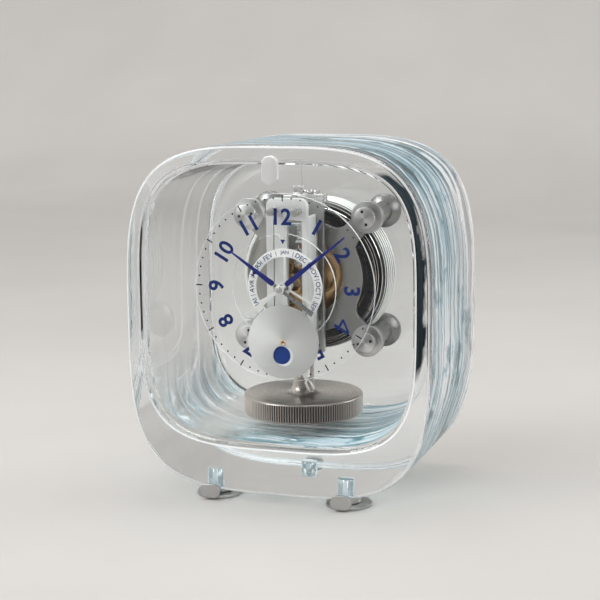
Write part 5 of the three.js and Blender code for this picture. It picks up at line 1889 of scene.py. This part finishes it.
@dataclass
class Hands(Bench):
    """Two blued blades with round roots, on hubs with silver counterweight tails."""

    minute: tuple[float, float, float] = (54.0, 27.1, 51.2)
    hour: tuple[float, float, float] = (38.3, 25.5, 305.0)
    root: float = 3.4
    tip: float = 1.0
    start: float = 5.2
    thickness: float = 0.8
    edge: float = 0.16
    hub: Point = (3.0, 3.2)
    tail: Point = (2.0, 3.3)

    def build(self) -> None:
        """Make both hands."""
        hub = Span.of("minute_counterweight")
        self.middle = (0.0, dial_height())
        self._hand("minute", self.minute, Span.of("minute_hand").low.y, self.hub[0])
        self._hand("hour", self.hour, Span.of("hour_hand").low.y, self.hub[1])
        self._caps(hub)

    def _hand(self, body: str, sizes: tuple[float, float, float], near: float, hub: float) -> None:
        """A blade, drawn at twelve and turned, and its tail.

        Args:
            body: minute or hour.
            sizes: blade length, tail length and clockwise turn.
            near: depth of the front face.
            hub: radius of the hub.
        """
        length, tail, turn = sizes
        x, z = self.middle
        r, t = self.root / 2, self.tip / 2
        blade = arc((x, z + self.start + r), r, 180, 360, 14) + arc((x, z + length - t), t, 0, 180, 8)
        far = near + self.thickness
        piece = self.plate([turned_about(blade, self.middle, turn)], near, far, self.edge, 3)
        self.seat(piece, f"{body}_hand_blued", body, BLUED.make(self.palette), "blued", (f"{body}_hand",))
        slim, wide = self.tail[0] / 2, self.tail[1] / 2
        reach = self.start - 0.3
        arm = [(x - slim, z + reach), (x - slim, z - hub), (x - wide, z - tail), (x + wide, z - tail),
               (x + slim, z - hub), (x + slim, z + reach)]
        parts = [self.plate([turned_about(arm, self.middle, turn)], near, far, self.edge, 3)]
        disc = [(hub - 0.2, near - 0.01), (hub, near + 0.15), (hub, far - 0.15), (hub - 0.2, far)]
        parts.append(self.turned(disc, self.middle, 64))
        if body == "hour":
            parts.append(self.turned([(1.9, far - 0.1), (1.9, deep(31.0))], self.middle, 32))
        finish = SHADED_SILVER if body == "hour" else SATIN_SILVER
        silver = finish.make(self.palette, Grain(centre=(x, 0, z), pitch=2600), "_hub")
        node = f"{body}_counterweight"
        self.seat(self.gather(parts), f"{node}_silver", body, silver, "silver", (node,))

    def _caps(self, hub: Span) -> None:
        """The domed cap and the small slotted screw in front of the hubs, and the arbor behind."""
        (x, z), near, steel = self.middle, hub.low.y, SATIN_STEEL.make(self.palette)
        profile = [(1.6, near + 0.25), (2.0, near + 0.45), (2.1, near + 0.7), (2.1, near + 1.2)]
        cap = self.turned(profile, self.middle, 64)
        self.seat(cap, "hand_cap_silver", "minute", steel, "silver")
        profile = [(0.95, near), (1.15, near + 0.12), (1.15, near + 0.3)]
        screw = self.turned(profile, self.middle, 32)
        self.drill(screw, self.block((x - 2, near - 1, z - 0.16), (x + 2, near + 0.08, z + 0.16), 0))
        self.seat(screw, "hand_screw_steel", "minute", steel, "steel")
        arbor = self.turned([(0.8, near + 1), (0.8, hub.high.y)], self.middle, 24)
        self.seat(arbor, "centre_arbor_steel", "minute", POLISHED.make(self.palette), "steel")


@dataclass
class Moon(Bench):
    """The satin moon dial with its round window, the disc behind it and the jewel."""

    radius: float = 23.2
    window: float = 6.6
    drop: float = 8.7
    disc: float = 17.4
    night: float = 5.75
    shift: Point = (-1.25, 0.2)
    jewel: float = 1.5

    def build(self) -> None:
        """Make the dial, the disc and the jewel."""
        palette = self.palette
        dial, disc = Span.of("moon_dial"), Span.of("moon_disc")
        z, near, r = dial.middle.z, dial.low.y, self.radius
        hole = (0.0, z - self.drop)
        outlines = [ring_points((0, z), r, 160), ring_points(hole, self.window, 64), ring_points((0, z), 1.2, 24)]
        plate = self.plate(outlines, near, near + 0.8, 0.12, 3)
        rim = [(r - 1.0, near + 0.7), (r - 0.1, near + 0.7), (r - 0.1, dial.high.y), (r - 1.0, dial.high.y)]
        backing = self.turned(rim, (0, z), 128, ring=True)
        satin = MOON_SATIN.make(palette, Grain(centre=(0, 0, z), turn=(0, -34, 0), pitch=1500), "_dial")
        self.seat(self.gather([plate, backing]), "moon_dial_satin", "case", satin, "silver", ("moon_dial",))
        r, face = self.disc, disc.low.y
        profile = [(r - 0.1, face), (r, face + 0.1), (r, face + 0.8), (3.0, face + 0.8), (3.0, face + 7.6),
                   (0.9, face + 7.6), (0.9, disc.high.y)]
        sky, white = self.turned(profile, (0, z), 128), MOON_WHITE.make(palette)
        self.seat(sky, "moon_disc_silver", "moon", white, "moon", ("moon_disc",))
        for side in (0, 180):
            spot = turned_about([hole], (0, z), side)[0]
            lit = self.plate([ring_points(spot, self.window + 0.6, 48)], face - 0.05, face - 0.01, 0.01, 0)
            self.seat(lit, f"moon_lit_{side}", "moon", white, "moon")
            centre = turned_about([(hole[0] + self.shift[0], hole[1] + self.shift[1])], (0, z), side)[0]
            dark = self.plate([ring_points(centre, self.night, 48)], face - 0.1, face - 0.06, 0.01, 0)
            self.seat(dark, f"moon_night_{side}", "moon", NIGHT_BLUE.make(palette), "moon")
        near, r = Span.of("moon_jewel").low.y, self.jewel
        stone = [(0.3, near), (0.55, near + 0.2), (0.7, near + 0.55), (0.7, near + 0.9)]
        ruby = self.turned(stone, (0, z), 48)
        self.seat(ruby, "moon_jewel_ruby", "moon", DARK_RUBY.make(palette), "jewel", ("moon_jewel",))
        profile = [(0.72, near + 0.3), (1.1, near + 0.05), (r, near + 0.4), (r, near + 0.72), (0.72, near + 0.72)]
        ring = self.turned(profile, (0, z), 48, ring=True)
        self.seat(ring, "moon_jewel_gilt", "moon", GILT.make(palette), "brass")


# Winding capsule and balance


@dataclass
class Capsule(Bench):
    """The sealed capsule that winds the clock as it breathes."""

    radius: float = 50.0
    bore: float = 30.0
    ribs: int = 4
    rib_depth: float = 1.5
    rib_points: int = 8
    rib_gap: float = 0.26
    edge: float = 0.25
    ledge: float = 36.0
    collar: Point = (43.5, 44.9)
    rim: float = 47.5
    steps: Point = (4.8, 8.9)
    lit_reach: float = 35.0
    lit_side: float = -26.0
    travel: float = 2.4

    def build(self) -> None:
        """Make the face, ribs, back and pusher."""
        palette = self.palette
        face, ribs, back = Span.of("capsule_face"), Span.of("capsule_ribs"), Span.of("capsule_back")
        middle = (0.0, ribs.middle.z)
        mirror = CAPSULE_MIRROR.make(palette)
        # Painted shade in the valleys between the ribs, down to black.
        hollow = Hollow(Axis.Y, middle, self.radius - 0.95, self.radius - 0.4, 0.0, 1.0)
        grain = Grain(centre=(0, 0, middle[1]), pitch=1600)
        bright = replace(BRIGHT_RIB, hollow=hollow).make(palette, grain, "_ribs")
        ring = self._face(face, middle)
        for finish in (mirror, POLISHED.make(palette), bright):
            ring.data.materials.append(finish)
        # Painted light on the face: faces far out on the left take the bright rib finish as a painted highlight, and
        # narrow bevel faces keep polished steel so that they stay bright against the painted dark of the mirror.
        for side in ring.data.polygons:
            reach = math.hypot(side.center.x, side.center.z - middle[1] * MM) / MM
            lit_left = reach > self.lit_reach and side.center.x < self.lit_side * MM
            if reach > self.radius - self.rib_depth - 0.1 or lit_left:
                side.material_index = 2
            elif side.area < 1.1 * MM ** 2:
                side.material_index = 1
        self.seat(ring, "capsule_face_polished", "case", mirror, "polished", ("capsule_face",))
        self.seat(self._ribs(ribs, middle), "capsule_ribs_bright", "case", bright, "rib", ("capsule_ribs",))
        far, near = back.high.y, back.low.y
        profile = [(46.0, near), (46.5, near + 0.4), (46.5, near + 1.4), (46.0, near + 1.9), (14, near + 1.9),
                   (12, near + 1.5), (9.4, near + 1.9), (9.0, near + 2.3), (9.0, far - 0.4), (8.6, far)]
        rear = self.turned(profile, middle, 160)
        # Painted sheen on the capsule back.
        steel = replace(SATIN_STEEL, fan=0.3).make(palette, grain, "_capsule")
        self.seat(rear, "capsule_back_steel", "case", steel, "polished", ("capsule_back",))
        span = Span.of("capsule_pusher")
        step = span.high.y - self.travel
        profile = [(2.4, span.low.y), (3.0, span.low.y + 0.6), (3.0, step - 1.2), (3.4, step - 0.5), (4.2, step),
                   (11, step), (12, step + 0.5), (15, step + 0.5), (16, step), (22, step), (23, step + 0.5),
                   (26, step + 0.5), (27, step), (29.2, step), (29.5, step + 0.3), (29.5, span.high.y)]
        plunger = self.turned(profile, middle, 128)
        gilt = GILT.make(palette, grain, "_pusher")
        self.seat(plunger, "capsule_pusher_gilt", "pusher", gilt, "brass", ("capsule_pusher",))

    def _face(self, span: Span, middle: Point) -> Piece:
        """The polished front: collar, shoulder, outer slope and the inner ledge, as one closed ring."""
        e, far = self.edge, span.high.y
        front, shoulder, face = (span.low.y + step for step in (0, *self.steps))
        ledge, (inner, outer), rim, behind = self.ledge, self.collar, self.rim, face + 1.4
        profile = [(self.bore, far), (self.bore, behind), (ledge - e, behind), (ledge, behind - e),
                   (ledge, face + e), (ledge + e, face), (inner - e, face), (inner, face - e), (inner, front + e),
                   (inner + e, front), (outer - e, front), (outer, front + e), (outer, shoulder - e),
                   (outer + e, shoulder + 0.1), (rim - 0.3, shoulder + 0.8), (rim, shoulder + 1.1),
                   (rim, shoulder + 1.6)]
        profile += self._waves(far - Span.of("capsule_ribs").size.y / self.ribs, far, 1)
        return self.turned(profile, middle, 192, ring=True)

    def _ribs(self, span: Span, middle: Point) -> Piece:
        """The bellows: rounded ribs with sharp valleys between."""
        near, far = span.low.y, span.high.y
        profile = [(self.bore, near), *self._waves(near, far, self.ribs), (self.bore, far)]
        return self.turned(profile, middle, 192, ring=True)

    def _waves(self, near: float, far: float, count: int) -> Profile:
        """The outer line of some ribs.

        Args:
            near: depth where they begin.
            far: depth where they end.
            count: how many there are.

        Returns:
            Its points, front to back.
        """
        pitch = (far - near) / count
        floor = self.radius - self.rib_depth
        profile = [(floor, near)]
        for rib in range(count):
            for i in range(self.rib_points + 1):
                share = i / self.rib_points
                rise = math.sqrt(max(0.0, 1 - (2 * share - 1) ** 2))
                place = rib + self.rib_gap + (1 - 2 * self.rib_gap) * share
                profile.append((floor + self.rib_depth * rise, near + pitch * place))
        return profile + [(floor, far)]


@dataclass
class Balance(Bench):
    """The heavy fluted balance under its flared neck."""

    flutes: int = 144
    columns: int = 6
    valleys: tuple[int, ...] = (0, 1, 5)
    flute_share: float = 0.981
    shoulder: float = 1.5
    neck: float = 6.9
    flare: Point = (13.0, 6.0)
    top: float = 54.2

    def build(self) -> None:
        """Turn the balance and cut its flutes."""
        span = Span.of("balance")
        x, y, radius = span.middle.x, span.middle.y, span.size.x / 2
        low, top = span.low.z, up(self.top)
        s, neck, end = self.shoulder, self.neck, span.high.z
        self.band = (low + s, top - s)
        quarter = [math.pi / 2 * i / 4 for i in range(1, 5)]
        profile = [(radius - s - 6, low), (radius - s, low)]
        profile += [(radius - s * (1 - math.sin(a)), low + s * (1 - math.cos(a))) for a in quarter]
        profile += [(radius, top - s)]
        profile += [(radius - s * (1 - math.cos(a)), top - s * (1 - math.sin(a))) for a in quarter]
        flare, rise = self.flare
        profile += [(flare + 8, top)]
        profile += [(flare - (flare - neck) * math.sin(a), top + rise * (1 - math.cos(a)))
                    for a in (math.pi / 2 * i / 8 for i in range(9))]
        profile += [(neck, end - 7.4), (neck - 0.4, end - 7.2), (neck - 0.4, end - 6.6), (neck, end - 6.4),
                    (neck, end - 0.5), (neck - 0.5, end), (1.3, end), (1.3, end - 8)]
        drum = self.turned(profile, (x, y), self.flutes * self.columns, axis=Axis.Z)
        self._cut_flutes(drum, (x, y), radius)
        grain = Grain(centre=(x, y, 0), turn=(90, 0, -20), pitch=2600)
        # Painted shade in the flutes' valleys, with the crests painted a little lighter.
        hollow = Hollow(Axis.Z, (x, y), radius * self.flute_share, radius - 0.1, 0.01, peak=1.1)
        nickel = replace(WARM_NICKEL, hollow=hollow).make(self.palette, grain, "_balance")
        self.seat(drum, "balance_nickel", "balance", nickel, "nickel", ("balance",), smooth=28)

    def _cut_flutes(self, drum: Piece, axis: Point, radius: float) -> None:
        """Draw in three columns of each flute's six, between the shoulders.

        Args:
            drum: the turned balance.
            axis: its axis in x and y.
            radius: its outer radius.
        """
        self.hold(drum)
        for group in (drum.data.vertices, drum.data.edges, drum.data.polygons):
            group.foreach_set("select", [False] * len(group))
        for vertex in drum.data.vertices:
            dx, dy, column = around(vertex, axis, self.flutes * self.columns)
            inside = self.band[0] - 0.01 <= vertex.co.z / MM <= self.band[1] + 0.01
            vertex.select = inside and math.hypot(dx, dy) > radius - 0.3 and column % self.columns in self.valleys
        bpy.ops.object.mode_set(mode="EDIT")
        self.widen((self.flute_share, self.flute_share, 1), (*axis, 0))
        bpy.ops.object.mode_set(mode="OBJECT")


@dataclass
class TorsionHead(Bench):
    """The bridge over the cage with the wire's clamp, the rate disc and the wire down to the balance."""

    wire: float = 0.3
    disc: float = 5.2
    notches: int = 24
    notch_share: float = 0.08
    bridge: tuple[float, float, float, float] = (-5.5, 15.5, 5.0, 2.4)

    def build(self) -> None:
        """Make the head."""
        palette = self.palette
        grain = Grain(circular=False, pitch=2000)
        bright, silver = (finish.make(palette, grain, "_head") for finish in (POLISHED, HEAD_SILVER))
        span, clamp, disc = Span.of("torsion_bridge"), Span.of("wire_clamp"), Span.of("rate_disc")
        y, top = clamp.middle.y, span.high.z
        left, right, half, thick = self.bridge
        low = top - thick
        parts = [self.block((left, y - half, low), (right, y + half, top), 0.35),
                 self.block((right - 7, y - half, span.low.z), (right, y + half, low + 0.5), 0.35),
                 self.block((span.low.x, y + 2.7, span.low.z), (right, y + half, low + 0.5), 0.35)]
        for spot in ((right - 1.8, y - half + 1.8), (right - 1.8, y + half - 1.8)):
            head = [(1.2, top - 0.05), (1.2, top + 0.22), (1.0, top + 0.28)]
            parts.append(self.turned(head, spot, 32, axis=Axis.Z))
        bridge = self.gather(parts)
        self.seat(bridge, "torsion_bridge_silver", "case", silver, "silver", ("torsion_bridge",))
        jaw = [self.block(clamp.low, (clamp.high.x, y - 0.15, clamp.high.z), 0.3),
               self.block((clamp.low.x, y + 0.15, clamp.low.z), clamp.high, 0.3)]
        for x in (clamp.low.x + 1.2, clamp.high.x - 0.9):
            bolt = [(0.6, clamp.low.y - 0.01), (0.6, y)]
            jaw.append(self.turned(bolt, (x, clamp.middle.z), 24))
        jaws = self.gather(jaw)
        self.seat(jaws, "wire_clamp_bright", "case", bright, "polished", ("wire_clamp",))
        span = Span.of("torsion_wire")
        wire = self.turned([(self.wire, span.low.z), (self.wire, span.high.z)], (0, y), 16, axis=Axis.Z)
        self.seat(wire, "torsion_wire_bright", "case", bright, "polished", ("torsion_wire",))
        r, z, high = self.disc, disc.high.z - 1.8, disc.high.z
        profile = [(1.3, disc.low.z), (1.3, z), (r - 0.3, z), (r, z + 0.3), (r, high - 0.3), (r - 0.3, high),
                   (2.5, high), (2.3, high - 0.2), (2.3, high - 0.9)]
        rate = self.turned(profile, (disc.middle.x, y), self.notches * 4, axis=Axis.Z)
        self._notch(rate, (disc.middle.x, y), z)
        self.seat(rate, "rate_disc_bright", "rate", bright, "polished", ("rate_disc",))

    def _notch(self, rate: Piece, axis: Point, low: float) -> None:
        """Draw in half the columns of the rate disc's edge, so that a finger can turn it.

        Args:
            rate: the turned disc.
            axis: its axis in x and y.
            low: height of its underside.
        """
        for vertex in rate.data.vertices:
            dx, dy, column = around(vertex, axis, self.notches * 4)
            if column % 4 < 2 and vertex.co.z / MM > low - 0.1 and math.hypot(dx, dy) > self.disc - 0.5:
                vertex.co.x -= dx * self.notch_share * MM
                vertex.co.y -= dy * self.notch_share * MM


@dataclass
class LockLever(Bench):
    """The looped lever that locks the balance while the clock is carried."""

    width: float = 4.6
    length: float = 18.6
    loop: float = 9.0
    wall: float = 1.1
    thickness: float = 1.4
    tilt: float = 26.0
    pivot: Place = (2.0, 46.0, 73.5)

    def build(self) -> None:
        """Cut the lever, hang it at its rest angle and give it its pin."""
        x, y, z = self.pivot[0], deep(self.pivot[1]), up(self.pivot[2])
        span = Span.of("lock_lever")
        half = self.width / 2
        bottom, neck = z - self.length, z - self.length + self.loop
        outer = (arc((x, bottom + half), half, 180, 360, 12) + arc((x + half - 1.6, neck - 1.6), 1.6, 0, 80, 6)
                 + [(x + self.wall, neck + 0.6), (x + self.wall, z), (x - self.wall, z), (x - self.wall, neck + 0.6)]
                 + arc((x - half + 1.6, neck - 1.6), 1.6, 100, 180, 6))
        inner = slot_outline((x, (bottom + neck) / 2), self.width - 2 * self.wall, self.loop - 2 * self.wall, 10)
        near = y - self.thickness / 2
        sign = -1 if span.middle.x < x else 1
        shapes = [turned_about(shape, (x, z), -sign * self.tilt) for shape in (outer, inner)]
        lever = self.plate(shapes, near, near + self.thickness, 0.2, 2)
        profile = [(1.2, span.low.y), (1.4, span.low.y + 0.2), (1.4, span.high.y)]
        pin = self.turned(profile, (x, z), 32)
        lever, bright = self.gather([lever, pin]), POLISHED.make(self.palette)
        self.seat(lever, "lock_lever_bright", "lock", bright, "polished", ("lock_lever",))


# Studio


@dataclass(frozen=True)
class Lamp:
    """A soft rectangular lamp."""

    name: str
    place: Place
    size: Point
    power: float
    target: Place = (0.0, 0.0, 0.11)
    tint: Place = (1.0, 1.0, 1.0)

    def build(self) -> None:
        """Hang the lamp and aim it."""
        data = bpy.data.lights.new(self.name, "AREA")
        data.shape = "RECTANGLE"
        data.size, data.size_y = self.size
        data.energy = self.power
        data.color = self.tint
        lamp = bpy.data.objects.new(self.name, data)
        lamp.location = self.place
        lamp.rotation_euler = (Vector(self.target) - Vector(self.place)).to_track_quat("-Z", "Y").to_euler()
        bpy.context.scene.collection.objects.link(lamp)


@dataclass
class Studio:
    """Pale sweep, soft lamps, surroundings and the camera."""

    palette: Palette
    lens: float = 89.04
    yaw: float = 0.3292
    pitch: float = 0.1675
    roll: float = -0.0094
    eye: Place = (303.44, -837.37, 274.35)
    sweep: tuple[float, float, float, float] = (6.0, -0.42, 1.6, 0.9)
    paper: Place = (0.56, 0.535, 0.51)
    glow: float = 0.42
    through: float = 0.7
    lamps: tuple[Lamp, ...] = (
        Lamp("key", (-0.9, -0.7, 1.0), (0.7, 0.9), 10.0),
        Lamp("fill", (1.1, -0.7, 0.7), (0.4, 0.7), 3.0),
        Lamp("crown", (0.0, 0.3, 1.3), (0.9, 0.6), 7.0),
        Lamp("rim", (1.0, 0.7, 0.6), (0.3, 0.9), 4.0),
    )

    def build(self) -> None:
        """Set everything up."""
        self._camera()
        self._floor()
        self._world()
        for lamp in self.lamps:
            lamp.build()
        bpy.context.scene.view_settings.view_transform = "Standard"

    def _camera(self) -> None:
        """The camera at the angle measured from the photograph."""
        forward = Vector((-math.sin(self.yaw) * math.cos(self.pitch), math.cos(self.yaw) * math.cos(self.pitch),
                          -math.sin(self.pitch)))
        right = Vector((math.cos(self.yaw), math.sin(self.yaw), 0))
        above = right.cross(forward)
        c, s = math.cos(self.roll), math.sin(self.roll)
        axes = (right * c + above * s, above * c - right * s, -forward)
        data = bpy.data.cameras.new("camera")
        data.lens, data.sensor_width = self.lens, 36.0
        camera = bpy.data.objects.new("camera", data)
        turn = Matrix(axes).transposed().to_4x4()
        place = Vector((self.eye[0], deep(self.eye[1]), up(self.eye[2]))) * MM
        camera.matrix_world = Matrix.Translation(place) @ turn
        bpy.context.scene.collection.objects.link(camera)
        bpy.context.scene.camera = camera

    def _floor(self) -> None:
        """One sheet that lies under the clock and curves up behind it."""
        wide, near, back, bend = self.sweep
        Bench.clear()
        bpy.ops.mesh.primitive_plane_add(size=1, location=(0, (near + back) / 2, 0))
        sheet = bpy.context.object
        sheet.name = "studio_sweep"
        Bench.enter()
        bpy.ops.transform.resize(value=(wide, back - near, 1))
        bpy.ops.mesh.select_mode(type="EDGE")
        bpy.ops.mesh.select_all(action="DESELECT")
        bpy.ops.object.mode_set(mode="OBJECT")
        for edge in sheet.data.edges:
            edge.select = all(sheet.data.vertices[v].co.y > 0 for v in edge.vertices)
        bpy.ops.object.mode_set(mode="EDIT")
        for i in range(1, 9):
            a, b = math.pi / 2 * (i - 1) / 8, math.pi / 2 * i / 8
            step = (0, bend * (math.sin(b) - math.sin(a)), bend * (math.cos(a) - math.cos(b)))
            bpy.ops.mesh.extrude_region_move(TRANSFORM_OT_translate={"value": step})
        bpy.ops.mesh.extrude_region_move(TRANSFORM_OT_translate={"value": (0, 0, 3)})
        bpy.ops.mesh.select_mode(type="VERT")
        bpy.ops.object.mode_set(mode="OBJECT")
        bpy.ops.object.transform_apply(location=True, rotation=True, scale=True)
        bpy.ops.object.shade_smooth()
        sheet.data.materials.append(self._paper())

    def _paper(self) -> bpy.types.Material:
        """Pale paper that glows a little further out, so that its far end stays light."""
        coat = Coating("studio_paper", self.palette)
        colour = coat.two_tone(coat.cloud(3.0), tuple(v * 0.92 for v in self.paper), self.paper)
        path = coat.node("LightPath").outputs
        seen = coat.maths("MAXIMUM", path["Is Camera Ray"], path["Is Glossy Ray"])
        seen = coat.maths("MAXIMUM", seen, path["Is Transmission Ray"])
        far = coat.node("VectorMath", {0: coat.where}, operation="LENGTH").outputs["Value"]
        glow = coat.times(seen, coat.ranged(far, 0.5, 2.4, 0.0, self.glow))
        coat.dress({"Base Color": colour, "Emission Color": colour, "Roughness": 0.8, "Emission Strength": glow})
        return coat.material

    def _world(self) -> None:
        """Soft surroundings: brighter to the left and above, darker to the right and below."""
        world = bpy.data.worlds.new("surroundings")
        bpy.context.scene.world = world
        world.use_nodes = True
        sky = Surface(world.node_tree)
        x, y, z = sky.split(sky.node("TexCoord").outputs["Generated"])
        light = sky.plus(sky.times(x, -0.18), sky.times(z, 0.35), sky.times(y, 0.05), 0.55)
        light = sky.times(light, sky.ranged(z, -0.12, 0.1, 0.0, 1.0))
        colour = sky.ramp(light, (0.0, (0.02, 0.02, 0.021)), (1.0, (0.95, 0.95, 0.95)))
        path = sky.node("LightPath").outputs
        seen = sky.maths("MAXIMUM", path["Is Camera Ray"], sky.times(path["Is Transmission Ray"], self.through))
        paper = (*(v * 1.25 for v in self.paper), 1)
        mix = sky.node("Mix", {"Factor": seen, "A": colour, "B": paper}, data_type="RGBA")
        sky.feed(world.node_tree.nodes["Background"], {"Color": mix.outputs["Result"], "Strength": 0.9})


def main() -> None:
    """Build the clock in order, then the studio round it, and report the sizes."""
    logging.basicConfig(level=logging.INFO, format="%(message)s")
    palette = Palette()
    for assembly in (CrystalCase, Feet, Posts, FramePlate, Cage, Train, Dial, MonthRing, Hands, Moon, Capsule,
                     Balance, TorsionHead, LockLever):
        log.info("%s: %s", assembly.__name__, assembly.__doc__)
        assembly(palette).build()
    Studio(palette).build()


if __name__ == "__main__":
    main()
